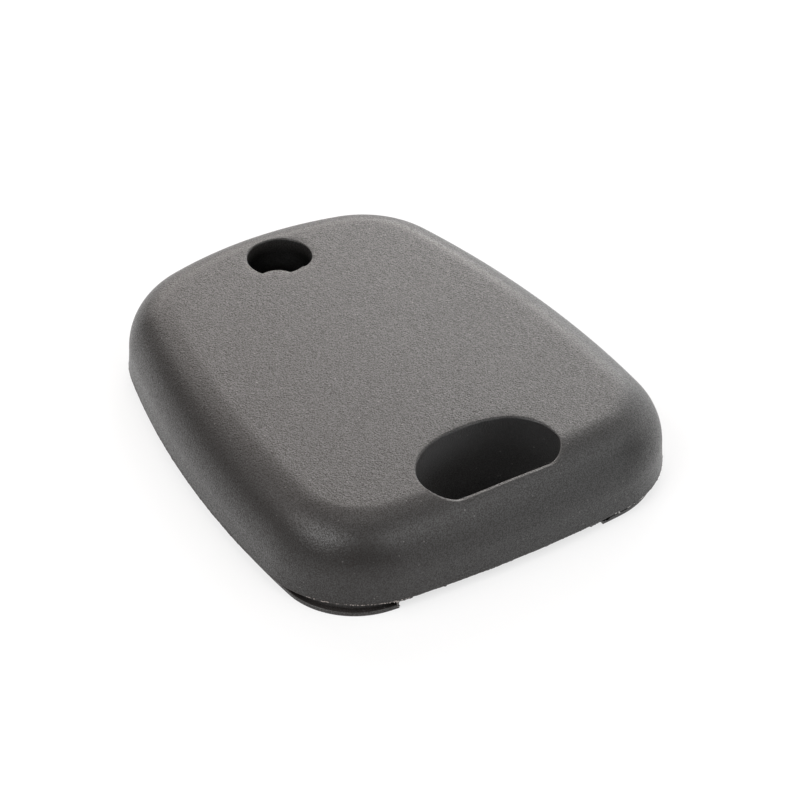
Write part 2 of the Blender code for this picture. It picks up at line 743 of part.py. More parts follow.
def make_switch_frame(name, material, carrier):
    """Metal frame over the mouth of the switch, with a skirt round its base."""
    inner = SWITCH_SIDE / 2 + SEAT_GAP
    outer = inner + FRAME_THICKNESS
    skirt_top = SWITCH_BOTTOM + FRAME_SKIRT
    frame = box(
        name + "_switch_frame", (-outer, -outer, FRAME_BOTTOM), (outer, outer, skirt_top), PARTS
    )
    inside = box(
        name + "_frame_inside", (-inner, -inner, FRAME_TOP), (inner, inner, skirt_top + OVERRUN), TOOLS
    )
    hole = cylinder(
        name + "_frame_hole", STEM_RADIUS + SIDE_GAP, FRAME_BOTTOM - OVERRUN,
        FRAME_TOP + OVERRUN / 2, TOOLS, steps=SMALL_STEPS,
    )
    for cutter in (inside, hole):
        cutter.parent = carrier
        cut(frame, cutter)
    return finish_part(frame, material, carrier)


def make_switch_plunger(name, material, carrier):
    """Plunger with a collar behind the frame and a nub under the snap dome."""
    collar_bottom = SWITCH_BOTTOM - STEM_BOTTOM
    collar_top = COLLAR_TOP - STEM_BOTTOM
    nub_top = NUB_TOP - STEM_BOTTOM
    profile = [
        (0, nub_top), (NUB_RADIUS, nub_top), (NUB_RADIUS, collar_top), (COLLAR_RADIUS, collar_top),
        (COLLAR_RADIUS, collar_bottom), (STEM_RADIUS, collar_bottom), (STEM_RADIUS, 0), (0, 0),
    ]
    plunger = turned(name + "_switch_plunger", profile, PARTS, SMALL_STEPS)
    return finish_part(plunger, material, carrier)


def make_snap_dome(name, material, carrier):
    """Thin metal dome that arches down from the top of the switch's cavity."""
    upper = []
    for step in range(FILLET_STEPS + 1):
        share = step / FILLET_STEPS
        upper.append((DOME_RADIUS * share, DOME_TOP - DOME_RISE * math.cos(math.pi / 2 * share)))
    lower = [(radius, height - DOME_SHEET) for radius, height in reversed(upper)]
    dome = turned(name + "_snap_dome", upper + lower, PARTS, SMALL_STEPS)
    return finish_part(dome, material, carrier)


def make_coin_cell(can_material, seal_material, carrier):
    """Coin cell: can, sealing ring and cap, with the cap facing the board."""
    radius = CELL_DIAMETER / 2
    inner = radius - CELL_SHEET
    mouth = CELL_BOTTOM + CELL_CRIMP
    can = turned("coin_cell_can", [
        (0, CELL_TOP), (radius, CELL_TOP), (radius, mouth), (inner, mouth),
        (inner, CELL_TOP - CELL_SHEET), (0, CELL_TOP - CELL_SHEET),
    ], PARTS)
    seal_outer = inner - SEAT_GAP
    seal_inner = seal_outer - CELL_SEAL
    seal_top = CELL_TOP - CELL_SHEET - SEAT_GAP
    seal = turned("coin_cell_seal", [
        (seal_outer, seal_top), (seal_outer, mouth), (seal_inner, mouth), (seal_inner, seal_top),
    ], PARTS, closed=True)
    cap_radius = seal_inner - SEAT_GAP
    cap_inner = cap_radius - CELL_SHEET
    cap_floor = CELL_BOTTOM + CELL_SHEET
    cap = turned("coin_cell_cap", [
        (0, cap_floor), (cap_inner, cap_floor), (cap_inner, seal_top), (cap_radius, seal_top),
        (cap_radius, CELL_BOTTOM), (0, CELL_BOTTOM),
    ], PARTS)
    finish_part(can, can_material, carrier)
    finish_part(cap, can_material, carrier)
    finish_part(seal, seal_material, carrier)


def make_battery_contact(material, carrier):
    """Flat plate on the board under the cell's cap."""
    outline = rounded_rectangle(CONTACT_LENGTH, CONTACT_WIDTH, CONTACT_CORNER_RADIUS)
    contact = solid_outline("battery_contact", [outline], MOUNTED, CONTACT_TOP, PARTS)
    return finish_part(contact, material, carrier)


def make_battery_clip(material, carrier):
    """Sheet strap bent over the cell, with a foot on the board at each side."""
    inner = CELL_DIAMETER / 2 + CELL_GAP
    outer = inner + METAL_SHEET
    toe = outer + CLIP_FOOT
    foot_top = MOUNTED + METAL_SHEET
    right = [(toe, MOUNTED), (toe, foot_top), (outer, foot_top), (outer, CLIP_TOP)]
    inside = [(-inner, MOUNTED), (-inner, CLIP_BOTTOM), (inner, CLIP_BOTTOM), (inner, MOUNTED)]
    profile = right + [(-x, height) for x, height in reversed(right)] + inside
    clip = outline_sheet("battery_clip", [profile], -CLIP_WIDTH / 2, CLIP_WIDTH / 2, PARTS)
    clip.rotation_euler.x = math.pi / 2
    clip = as_mesh(clip, PARTS)
    return finish_part(clip, material, carrier)


def board_half_width(x):
    return half_width_at(x, inner_inset_at(BOARD_TOP) + BOARD_GAP)


def share_out(start, end, sizes, shares):
    """Middles of pieces of the given sizes, in order from start to end, with the room between."""
    way = 1 if end > start else -1
    share_room = (abs(end - start) - sum(sizes)) / sum(shares)
    middles = []
    edge = start
    for size, share in zip(sizes, shares):
        edge += way * (share_room * share + size)
        middles.append(edge - way * size / 2)
    return middles


def places_along():
    """X of the resistors, the chip, the resonator and the capacitors."""
    sizes = (PASSIVE_LENGTH, CHIP_LENGTH, RESONATOR_LENGTH, PASSIVE_LENGTH)
    return share_out(BOARD_FROM, BOARD_TO, sizes, ALONG_ROOM_SHARES)


def places_across():
    """Y of the coin cell, of the row that the chip lies in, and of the capsule."""
    side = board_half_width(BOARD_MIDDLE)
    sizes = (CELL_DIAMETER, CHIP_WIDTH + 2 * LEAD_REACH, CAPSULE_DIAMETER)
    return share_out(side, -side, sizes, ACROSS_ROOM_SHARES)


def make_controller_chip(material, carrier):
    """Chip body with a row of leads along both long sides."""
    body_bottom = SEAT_GAP
    half_length = CHIP_LENGTH / 2
    half_width = CHIP_WIDTH / 2
    chip = box(
        "controller_chip", (-half_length, -half_width, body_bottom),
        (half_length, half_width, CHIP_HEIGHT), PARTS, CHIP_EDGE,
    )
    reach = half_width + LEAD_REACH
    place = (places_along()[1], places_across()[1], MOUNTED)
    for number in range(CHIP_LEADS):
        x = (number - (CHIP_LEADS - 1) / 2) * LEAD_PITCH
        lead = box(
            f"chip_lead_{number}", (x - LEAD_WIDTH / 2, -reach, 0),
            (x + LEAD_WIDTH / 2, reach, METAL_SHEET), TOOLS,
        )
        lead.parent = carrier
        lead.location = place
        join_in(chip, lead)
    return finish_part(chip, material, carrier, place)


def make_block(name, size, rounding, place, material, carrier):
    """Small block-shaped component on the board."""
    length, width, height = size
    block = box(
        name, (-length / 2, -width / 2, 0), (length / 2, width / 2, height), PARTS, rounding
    )
    return finish_part(block, material, carrier, (*place, MOUNTED))


def make_passives(name, x, first, height, material, carrier):
    """Column of three small components, numbered along the column."""
    for number in range(1, 4):
        y = places_across()[1] + (first - number) * PASSIVE_PITCH
        size = (PASSIVE_LENGTH, PASSIVE_WIDTH, height)
        make_block(f"{name}_{number}", size, PASSIVE_ROUNDING, (x, y), material, carrier)


def make_crystal(material, carrier):
    """Round metal can that lies along the board, between the coin cell and the resonator's side."""
    radius = CRYSTAL_DIAMETER / 2
    half = CRYSTAL_LENGTH / 2
    rim = radius - CRYSTAL_ROUNDING
    can = turned("crystal", [
        (0, half), (rim, half), (radius, half - CRYSTAL_ROUNDING),
        (radius, CRYSTAL_ROUNDING - half), (rim, -half), (0, -half),
    ], PARTS, SMALL_STEPS)
    can.rotation_euler.y = math.pi / 2
    cell_y, row_y, _ = places_across()
    y = (cell_y - CELL_DIAMETER / 2 + row_y + RESONATOR_WIDTH / 2) / 2
    return finish_part(can, material, carrier, (CRYSTAL_X, y, MOUNTED + radius))


def make_capsule(material, carrier):
    """Glass transponder capsule with round ends, near the -Y side of the board."""
    radius = CAPSULE_DIAMETER / 2
    reach = CAPSULE_LENGTH / 2 - radius
    profile = []
    for step in range(FILLET_STEPS + 1):
        turn = math.pi / 2 * step / FILLET_STEPS
        profile.append((radius * math.sin(turn), reach + radius * math.cos(turn)))
    profile += [(around, -along) for around, along in reversed(profile)]
    capsule = turned("transponder_capsule", profile, PARTS, SMALL_STEPS)
    capsule.rotation_euler.y = math.pi / 2
    place = (BOARD_MIDDLE, places_across()[2], MOUNTED + radius)
    return finish_part(capsule, material, carrier, place)


def make_case_screw(material, carrier):
    """Pan-head screw with a cross recess; its origin is under its head, on its axis."""
    edge = SCREW_HEAD_HEIGHT / 2
    shoulder = SCREW_HEAD_RADIUS - SCREW_HEAD_HEIGHT / 4
    screw = turned("case_screw", [
        (0, SCREW_HEAD_HEIGHT), (shoulder, SCREW_HEAD_HEIGHT), (SCREW_HEAD_RADIUS, edge),
        (SCREW_HEAD_RADIUS, 0), (SCREW_RADIUS, 0), (SCREW_RADIUS, SCREW_RADIUS / 2 - SCREW_LENGTH),
        (SCREW_RADIUS / 2, -SCREW_LENGTH), (0, -SCREW_LENGTH),
    ], PARTS, SMALL_STEPS)
    recess_bottom = SCREW_HEAD_HEIGHT - SCREW_RECESS_DEPTH
    recess_top = SCREW_HEAD_HEIGHT + OVERRUN
    narrow = SCREW_RECESS_WIDTH / 2
    reach = SCREW_RECESS_REACH
    for name, half_x, half_y in (("recess_along", reach, narrow), ("recess_across", narrow, reach)):
        recess = box(name, (-half_x, -half_y, recess_bottom), (half_x, half_y, recess_top), TOOLS)
        recess.parent = carrier
        cut(screw, recess)
    return finish_part(screw, material, carrier)


def make_switch(name, x, materials, front_half):
    """One push switch: its fixed pieces, its plunger and the button that presses it."""
    seat = empty(name + "_switch_seat", (x, 0, 0), front_half)
    make_switch_base(name, materials["switch_base"], seat)
    make_switch_frame(name, materials["tinned_steel"], seat)
    make_snap_dome(name, materials["tinned_steel"], seat)
    make_switch_plunger(name, materials["switch_plunger"], empty(
        name + "_plunger_axis", (x, 0, STEM_BOTTOM), front_half
    ))
    make_button(name, materials["button"], empty(
        name + "_button_axis", (x, 0, STEM_BOTTOM), front_half
    ))


def make_electronics(materials, front_half):
    make_board(materials["board"], front_half)
    resistors_x, _, resonator_x, capacitors_x = places_along()
    cell_y, row_y, _ = places_across()
    cell_seat = empty("coin_cell_seat", (BOARD_MIDDLE, cell_y, 0), front_half)
    make_coin_cell(materials["cell_steel"], materials["seal"], cell_seat)
    make_battery_contact(materials["tinned_steel"], cell_seat)
    make_battery_clip(materials["tinned_steel"], cell_seat)
    make_controller_chip(materials["chip"], front_half)
    make_block(
        "radio_resonator", (RESONATOR_LENGTH, RESONATOR_WIDTH, RESONATOR_HEIGHT),
        RESONATOR_ROUNDING, (resonator_x, row_y), materials["can"], front_half,
    )
    make_crystal(materials["can"], front_half)
    make_capsule(materials["glass"], front_half)
    make_passives(
        "resistor", resistors_x, 2, RESISTOR_HEIGHT, materials["resistor"], front_half
    )
    make_passives(
        "capacitor", capacitors_x, 1, CAPACITOR_HEIGHT, materials["capacitor"], front_half
    )


def make_materials():
    return {
        "shell": make_material("moulded_plastic", (0.07, 0.067, 0.065), 0.62),
        "button": make_material("button_plastic", (0.03, 0.03, 0.03), 0.5),
        "rubber": make_material("gasket_rubber", (0.02, 0.02, 0.02), 0.8),
        "board": make_material("board_resin", (0.01, 0.09, 0.03), 0.4),
        "switch_base": make_material("switch_resin", (0.015, 0.015, 0.015), 0.5),
        "switch_plunger": make_material("plunger_resin", (0.35, 0.3, 0.2), 0.45),
        "tinned_steel": make_material("tinned_steel", (0.62, 0.6, 0.56), 0.35, 1),
        "cell_steel": make_material("cell_steel", (0.66, 0.66, 0.65), 0.25, 1),
        "seal": make_material("cell_seal", (0.25, 0.25, 0.27), 0.5),
        "chip": make_material("chip_resin", (0.02, 0.02, 0.022), 0.55),
        "can": make_material("can_metal", (0.7, 0.69, 0.66), 0.3, 1),
        "glass": make_material("capsule_glass", (0.25, 0.22, 0.16), 0.1),
        "resistor": make_material("resistor_ceramic", (0.03, 0.03, 0.035), 0.45),
        "capacitor": make_material("capacitor_ceramic", (0.4, 0.28, 0.16), 0.5),
        "screw": make_material("zinc_plated_steel", (0.5, 0.5, 0.5), 0.35, 1),
    }


def main():
    materials = make_materials()
    front_half = empty("front_half")
    rear_half = empty("rear_half")
    make_front_cover(materials["shell"], front_half)
    make_gasket(materials["rubber"], front_half)
    for name, x in BUTTON_PLACES.items():
        make_switch(name, x, materials, front_half)
    make_electronics(materials, front_half)
    make_rear_shell(materials["shell"], rear_half)
    make_case_screw(materials["screw"], empty("screw_axis", (WELL_X, 0, HEAD_BOTTOM), rear_half))


clear_scene()
PARTS = make_collection("remote_key_case")
TOOLS = make_collection("cutters")
main()
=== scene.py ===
"""Remote key case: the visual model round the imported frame, with its stage and camera."""
import json
import math
import random

import bmesh
import bpy
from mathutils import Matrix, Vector, noise
from mathutils.geometry import delaunay_2d_cdt


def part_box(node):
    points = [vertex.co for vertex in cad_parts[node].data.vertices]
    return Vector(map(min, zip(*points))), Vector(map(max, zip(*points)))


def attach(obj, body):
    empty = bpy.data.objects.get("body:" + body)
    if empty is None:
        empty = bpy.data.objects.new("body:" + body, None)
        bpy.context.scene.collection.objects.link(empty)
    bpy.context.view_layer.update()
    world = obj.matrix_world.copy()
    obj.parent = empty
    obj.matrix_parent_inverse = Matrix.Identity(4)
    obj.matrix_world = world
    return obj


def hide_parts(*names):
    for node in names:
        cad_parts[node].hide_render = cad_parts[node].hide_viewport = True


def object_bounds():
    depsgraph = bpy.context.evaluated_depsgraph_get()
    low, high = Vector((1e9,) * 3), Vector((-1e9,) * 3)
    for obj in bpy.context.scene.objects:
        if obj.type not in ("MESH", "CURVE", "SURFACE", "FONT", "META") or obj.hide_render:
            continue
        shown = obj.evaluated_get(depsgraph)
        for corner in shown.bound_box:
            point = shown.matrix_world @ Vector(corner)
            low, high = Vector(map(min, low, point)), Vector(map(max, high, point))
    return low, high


bl_info = {
    "name": "Remote Key Case",
    "version": (1, 0, 0),
    "blender": (4, 5, 0),
    "location": "3D View > Sidebar > Key Case",
    "description": "Dresses the packed remote key case with fine mouldings, finishes and a stage",
    "category": "Add Mesh",
}

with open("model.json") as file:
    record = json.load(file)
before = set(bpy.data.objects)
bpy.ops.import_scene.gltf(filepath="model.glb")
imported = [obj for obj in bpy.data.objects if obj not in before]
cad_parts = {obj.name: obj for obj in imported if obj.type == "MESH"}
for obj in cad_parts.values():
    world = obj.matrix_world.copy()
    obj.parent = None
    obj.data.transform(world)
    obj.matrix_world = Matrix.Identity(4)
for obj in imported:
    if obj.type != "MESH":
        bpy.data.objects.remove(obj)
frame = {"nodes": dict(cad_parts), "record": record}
CAD_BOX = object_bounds()
BOARD_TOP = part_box("circuit_board")[1].z
MM = 0.001

# Outline of the case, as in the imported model, and the steps on each arc of its half
RING_END = CAD_BOX[1].x
BLADE_END = CAD_BOX[0].x
MIDDLE_HALF_WIDTH = 20.08 * MM
SIDE_TAPER = math.radians(5.45)
SIDE_ARC_RADIUS = 98.67 * MM
BLADE_END_ARC_RADIUS = 36.75 * MM
RING_END_ARC_RADIUS = 122.5 * MM
BLADE_CORNER_RADIUS = 10.67 * MM
RING_CORNER_RADIUS = 9.89 * MM
ARC_STEPS = (12, 26, 30, 26, 14)

# Rear shell
CASE_TOP = CAD_BOX[1].z
SEAM_HEIGHT = 1.0 * MM
SHELL_WALL = 1.4 * MM
SHELL_ROOF = 1.2 * MM
WALL_DRAFT = 0.12 * MM
EDGE_ROUND_DEPTH = 4.775 * MM
EDGE_ROUND_HEIGHT = 5.23 * MM
ROUND_START = CASE_TOP - EDGE_ROUND_HEIGHT
FLAT_INSET = EDGE_ROUND_DEPTH + WALL_DRAFT
SEAM_ROUNDING = 0.07 * MM
# Degrees up to which the rounded edge is lofted. The patch round the holes goes on from there
LOFT_TURN = 54
LOFT_STEPS = 18
PATCH_TURN_STEP = 3
EYE_PATCH_MARGIN = 0.12 * MM
WELL_PATCH_MARGIN = 0.2 * MM
# Points of the flat roof, one to a millimetre, set off a little so that none meets a hole's
ROOF_GRID_COLUMNS = 22
ROOF_GRID_ROWS = 18
ROOF_GRID_SHIFT = (0.013 * MM, 0.007 * MM)
ROOF_GRID_MARGIN = 0.5 * MM
ROOF_GRID_FROM_SIDE = 1.0 * MM
SMOOTH_BELOW = math.radians(32)
SHELL_SMOOTH_BELOW = math.radians(19)
GLASS_SMOOTH_BELOW = math.radians(60)

# Screw well and its lug
WELL_X = BLADE_END + 7.63 * MM
WELL_RADIUS = 3.12 * MM
WELL_WALL = 0.9 * MM
WELL_BOTTOM = 2.5 * MM
WELL_FLOOR_TOP = 3.3 * MM
LUG_RADIUS = 2.05 * MM
LUG_REACH = 4.15 * MM
LUG_ANGLE = math.radians(-33)
STEP_RADIUS = WELL_RADIUS - 0.44 * MM
STEP_END = math.radians(22)
STEP_KINK = math.radians(9)
STEP_RUN_OUT = math.radians(40)
STEP_KINK_SHARE = 0.5
SOFT_RIM_ANGLE = math.radians(185)
SCREW_HOLE_RADIUS = 1.3 * MM
WELL_ANGLES = [LUG_ANGLE + math.radians(2 * step - 40) for step in range(180)]

# Ring eye
EYE_STRAIGHT_X = RING_END - 2.95 * MM
EYE_LENGTH = 7.7 * MM
EYE_HALF_WIDTH = 6.95 * MM
EYE_CORNER_RADIUS = 2.55 * MM
# Fullness of the arch towards -Y and +Y
EYE_ARCH_POWERS = (2.05, 2.4)
EYE_WALL = 1.4 * MM
TUBE_BOTTOM = 1.07 * MM

# Blade slot
SLOT_HALF_WIDTH = 4.3 * MM
SLOT_BOTTOM = 3.4 * MM
SLOT_TOP = 5.7 * MM
SLOT_ROUNDING = 0.4 * MM
SLOT_BREAKTHROUGH = 0.3 * MM

# Front cover
PLATE_TOP = 1.1 * MM
RIM_HEIGHT = 0.42 * MM
RIM_BLADE_END_INSET = 0.75 * MM
# The rim's inset at the ring end, its inset along the side and its corner radius, on each side
RIM_PLUS_Y = (0.38 * MM, 0.95 * MM, 9.0 * MM)
RIM_MINUS_Y = (0.14 * MM, 0.52 * MM, 7.2 * MM)
COVER_EDGE = 0.05 * MM
GROOVE_DEPTH = 0.45 * MM
SHOULDER_TOP = 0.95 * MM
TONGUE_INSET = 1.5 * MM
TONGUE_THICKNESS = 0.8 * MM
TONGUE_TOP = 1.9 * MM
BOSS_RADIUS = 2.0 * MM
BOSS_TOP = 2.45 * MM
PILOT_RADIUS = 1.08 * MM
PILOT_FLOOR = 0.5 * MM
NOTCH_X = RING_END - 1.6 * MM
NOTCH_FROM = -12.4 * MM
NOTCH_TO = 9.2 * MM
POST_RADIUS = 0.9 * MM
POST_FROM_EDGE = 1.8 * MM
POST_CLEARANCE = 0.3 * MM
COVER_POST_TOP = 3.5 * MM
SHELL_POST_BOTTOM = 4.4 * MM
SIDE_GAP = 0.1 * MM
SEAT_GAP = 0.05 * MM
BUTTON_GAP = 0.15 * MM
BUTTON_CORNER_RADIUS = 2.6 * MM
OVERRUN = 1.0 * MM

# Burrs at the ring end, in mm: y, height, half length and half height
EDGE_BURRS = (
    (-11.35, 0.92, 0.26, 0.17), (-7.95, 0.92, 0.26, 0.15), (7.55, 0.88, 0.24, 0.17),
    (8.7, 0.90, 0.36, 0.14),
)
PALE_BURRS = ((-12.56, 0.66, 0.12, 0.34), (-12.50, 0.72, 0.12, 0.28), (-12.45, 0.30, 0.20, 0.16))
# The dark burrs, like the edge burrs, are coloured in painted shade
DARK_BURRS = ((9.7, 0.50, 0.34, 0.32), (9.3, 0.55, 0.24, 0.34))
SPECKS = (
    (-12.62, 0.97, 0.18, 0.10), (-12.25, 1.0, 0.12, 0.07), (-11.85, 0.99, 0.10, 0.06),
    (-11.55, 0.97, 0.12, 0.07), (-12.9, 0.96, 0.10, 0.06), (10.69, 0.96, 0.12, 0.10),
)
# Thin strips of flash that hang from the wall beside the pry notch, in mm: from y, to y, drop
FLASH_STRIPS = ((-12.6, -11.3, 0.08), (7.4, 8.3, 0.06))
# Fine specks at random, in mm: from y, to y, how many, from height, to height, and the biggest
LEFT_EDGE_SPECKS = (-19.3, -12.6, 60, 0.99, 1.05, 0.06)
RIGHT_EDGE_SPECKS = (9.9, 19, 26, 0.99, 1.05, 0.06)
RIM_SPECKS = (-18.6, -12.6, 70, 0.06, 0.40, 0.045)

# Seam flash: the spacing of its sections, its coarse and fine raggedness, and where it is thin
FLASH_SPACING = 0.14 * MM
COARSE_FLASH = 2.2 * MM
FINE_FLASH = 0.22 * MM
THIN_FLASH_FROM_Y = 9.3 * MM
THIN_FLASH_SHARE = 0.35
BURR_SPACING = 0.1 * MM
BURR_SEED = 7
SHARD_CORNERS = 14

# Screw, buttons and electronics
HEAD_HEIGHT = 1.3 * MM
HEAD_RADIUS = 1.9 * MM
HEAD_EDGE = 0.08 * MM
HEAD_ROUNDING = 0.62 * MM
RECESS_DEPTH = 0.68 * MM
THREAD_CREST = 1.0 * MM
THREAD_ROOT = 0.72 * MM
THREAD_PITCH = 0.45 * MM
THREAD_TIP = 0.7 * MM
THREAD_RUN_OUT = 0.35 * MM
BUTTONS = ("lock_button", "unlock_button")
# How deep the button's face is dished, in mm, by the distance in from its edge
BUTTON_DISH = (
    (3.3, 0.15), (2.7, 0.14), (2.1, 0.115), (1.6, 0.08), (1.15, 0.04), (0.75, 0.012), (0.45, 0),
)
BUTTON_ROUNDING = 0.3 * MM
FLANGE = 0.6 * MM
FLANGE_BOTTOM = 1.15 * MM
FLANGE_TOP = 1.5 * MM
FLANGE_EDGE = 0.04 * MM
PUSHER_RADIUS = 1.5 * MM
LEADS_A_SIDE = 8
LEAD_PITCH = 0.8 * MM
LEAD_WIDTH = 0.35 * MM
LEAD_REACH = 1.0 * MM
LEG_FROM_CORNER = 0.75 * MM
COPPER_SKIN = 0.035 * MM
VIA_RADIUS = 0.30 * MM
TRACE_RISE = 0.022 * MM
TRACE_WIDTH = 0.17 * MM
AERIAL_WIDTH = 0.5 * MM
AERIAL_INSET = 1.0 * MM
PRINT_WIDTH = 0.1 * MM
COIL_TURNS = 42
COIL_STEPS = 6
CELL_WALL = 0.25 * MM
SWITCH_BASES = ("lock_switch_base", "unlock_switch_base")
PASSIVES = ("resistor_1", "resistor_2", "resistor_3", "capacitor_1", "capacitor_2", "capacitor_3")
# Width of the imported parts' softened edges in mm, where it isn't the usual one
SOFT_EDGE = 0.04
SOFTENED = {
    "button_gasket": 0.05, "battery_clip": 0.03, "battery_contact": 0.03, "coin_cell_seal": 0.05,
    "lock_switch_base": 0.06, "unlock_switch_base": 0.06, "lock_switch_frame": 0.03,
    "unlock_switch_frame": 0.03, "lock_snap_dome": 0.02, "unlock_snap_dome": 0.02,
}

# Tones of the moulded plastic, as factors on its colour: its pale and dark grain, the painted warm
# and cool light on its side towards -Y and towards +Y, the painted sheen at its far end, its
# specks, the painted highlight on the ring eye's rim and the painted light on its wall
GRAIN_TONES = (1.32, 0.68)
SIDE_LIGHT_TONES = ((1, 0.94, 0.90), (1.02, 1.07, 1.07))
FAR_SHEEN_TONE = 1.7
SPECK_TONE = 6
RIM_HIGHLIGHT_TONE = 2.2
EYE_WALL_LIGHT_TONE = (4.9, 5.2, 5.4)
# Colour of the painted shade deep in the screw well and the ring eye
HOLE_SHADE_COLOUR = (0.001, 0.001, 0.001)
# Depths under the roof between which painted shade darkens the holes, and the eye's wall gets
# painted light and loses it again
WELL_SHADE = (1.6 * MM, 0.2 * MM)
EYE_SHADE = (7.5 * MM, 2.5 * MM)
EYE_SHADE_SHARE = 0.18
EYE_WALL_FOOT = (5.0 * MM, 0.6 * MM)
EYE_WALL_HEAD = (0.28 * MM, 0.10 * MM)
BOARD_EDGE_COLOUR = (0.26, 0.22, 0.10)
TARNISH_TONE = (0.5, 0.46, 0.4)

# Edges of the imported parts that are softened, and the floor
WELD_DISTANCE = 0.002 * MM
BEVEL_ANGLE = math.radians(40)
FLOOR_HALF_SIZE = 1.5
FLOOR_STEPS = 24

# The photograph's view: the turn round the object, the height above the table, in degrees
VIEW_TURN = 58.0
VIEW_HEIGHT = 37.33
VIEW_AIM = (4.67 * MM, -0.11 * MM, 5.17 * MM)
VIEW_DISTANCE = 279.2 * MM
SENSOR_WIDTH = 36.0
FOCAL_PIXELS = 3035.0
PICTURE_PIXELS = 800.0

# Soft lights round the object: turn from the camera towards its right and height above the
# table, in degrees, power in watts, and warmth from 0 to 1
LIGHT_DISTANCE = 0.8
LIGHT_SIZE = 0.4
SURROUND = 0.02
SOFT_LIGHTS = {
    "far_right_edge": (150, 5, 1.25, 0.0),
    "back_right": (165, 25, 1.70, 0.3),
    "back": (180, 25, 1.90, 1.0),
    "back_left": (210, 25, 1.92, 1.0),
    "left": (270, 45, 1.60, 0.6),
    "front_left": (315, 45, 3.20, 0.0),
    "front_right": (45, 45, 1.70, 0.0),
    "right": (90, 45, 1.05, 0.0),
    "low_right": (60, 15, 0.94, 0.0),
    "low_back_right": (120, 15, 0.95, 0.3),
    "high_back_right": (135, 45, 0.48, 0.5),
    "top": (180, 80, 1.35, 0.6),
}


class CaseShape(bpy.types.PropertyGroup):
    """Sizes of the mouldings' fine edges."""

    near_rim: bpy.props.FloatProperty(
        name="Near rim", description="Rounding of the ring eye's edge beside the wall bar",
        default=0.12 * MM, unit="LENGTH",
    )
    rim_land: bpy.props.FloatProperty(
        name="Rim land", description="Width of the flat land outside the near rim's rounding",
        default=0.22 * MM, unit="LENGTH",
    )
    far_rim: bpy.props.FloatProperty(
        name="Far rim", description="Rounding of the ring eye's edge towards the middle",
        default=0.26 * MM, unit="LENGTH",
    )
    well_rim: bpy.props.FloatProperty(
        name="Well rim", description="Rounding of the screw well's edge where it is crisp",
        default=0.10 * MM, unit="LENGTH",
    )
    soft_well_rim: bpy.props.FloatProperty(
        name="Soft well rim", description="Rounding of the screw well's edge where it is worn",
        default=0.20 * MM, unit="LENGTH",
    )
    flash: bpy.props.FloatProperty(
        name="Flash", description="How far the seam's flash stands out and hangs down at most",
        default=0.11 * MM, unit="LENGTH",
    )


class CaseFinish(bpy.types.PropertyGroup):
    """Colours of the finishes."""

    plastic: bpy.props.FloatVectorProperty(
        name="Plastic", description="Colour of the moulded case", subtype="COLOR",
        default=(0.0200, 0.0188, 0.0184),
    )
    button: bpy.props.FloatVectorProperty(
        name="Buttons", description="Colour of the button caps", subtype="COLOR",
        default=(0.035, 0.035, 0.036),
    )
    board: bpy.props.FloatVectorProperty(
        name="Board", description="Colour of the circuit board's mask", subtype="COLOR",
        default=(0.008, 0.085, 0.030),
    )


class StageLook(bpy.types.PropertyGroup):
    """Lights and floor."""

    floor: bpy.props.FloatVectorProperty(
        name="Floor", description="Colour of the floor's surface", subtype="COLOR",
        default=(0.26, 0.26, 0.26),
    )
    floor_glow: bpy.props.FloatProperty(
        name="Floor glow", description="Light that comes up through the floor, as on a light table",
        default=0.70, min=0.0, subtype="FACTOR",
    )
    brightness: bpy.props.FloatProperty(
        name="Brightness", description="Factor on the power of every light", default=0.93,
        min=0.0, subtype="FACTOR",
    )
    warmth: bpy.props.FloatVectorProperty(
        name="Warmth", description="Colour of the warmest light", subtype="COLOR",
        default=(1.0, 0.945, 0.915),
    )


# Outlines in the plane of the table


def direction(start, end):
    """Angle of the way from one point to another."""
    return math.atan2(end.y - start.y, end.x - start.x)


def touching_centre(first, first_radius, second, second_radius, radius, side):
    """Centre of the corner circle that touches two larger circles from inside, on one side in X."""
    across = (second - first).length
    first_reach = first_radius - radius
    along = (across**2 + first_reach**2 - (second_radius - radius) ** 2) / (2 * across)
    off = math.sqrt(first_reach**2 - along**2)
    forward = (second - first).normalized()
    sideways = Vector((-forward.y, forward.x))
    options = (first + forward * along + sideways * off, first + forward * along - sideways * off)
    return max(options, key=lambda centre: centre.x * side)


def half_arcs(ring_end, side_in, blade_end, ring_corner_radius):
    """Arcs of the outline's +Y half, moved in: centre, radius, first angle and last angle."""
    ring = Vector((RING_END - RING_END_ARC_RADIUS, 0))
    blade = Vector((BLADE_END + BLADE_END_ARC_RADIUS, 0))
    outward = Vector((-math.sin(SIDE_TAPER), math.cos(SIDE_TAPER)))
    side = Vector((0, MIDDLE_HALF_WIDTH)) - SIDE_ARC_RADIUS * outward
    ring_radius = RING_END_ARC_RADIUS - ring_end
    side_radius = SIDE_ARC_RADIUS - side_in
    blade_radius = BLADE_END_ARC_RADIUS - blade_end
    corner_radius = BLADE_CORNER_RADIUS - blade_end
    ring_corner = touching_centre(ring, ring_radius, side, side_radius, ring_corner_radius, 1)
    blade_corner = touching_centre(blade, blade_radius, side, side_radius, corner_radius, -1)
    turns = (
        0, direction(ring, ring_corner), direction(side, ring_corner),
        direction(side, blade_corner), direction(blade, blade_corner), math.pi,
    )
    circles = (
        (ring, ring_radius), (ring_corner, ring_corner_radius), (side, side_radius),
        (blade_corner, corner_radius), (blade, blade_radius),
    )
    return [(*circle, turns[i], turns[i + 1]) for i, circle in enumerate(circles)]


def along_arc(centre, radius, start, end, steps):
    """Points along an arc, without its last one."""
    angles = [start + (end - start) * step / steps for step in range(steps)]
    return [(centre.x + radius * math.cos(a), centre.y + radius * math.sin(a)) for a in angles]


def circle(radius, place=(0, 0), steps=32):
    """Outline of a circle, counter-clockwise."""
    return along_arc(Vector(place), radius, 0, 2 * math.pi, steps)


def middle_of(low, high):
    """Middle between two corners, in the plane of the table."""
    return (low.x + high.x) / 2, (low.y + high.y) / 2


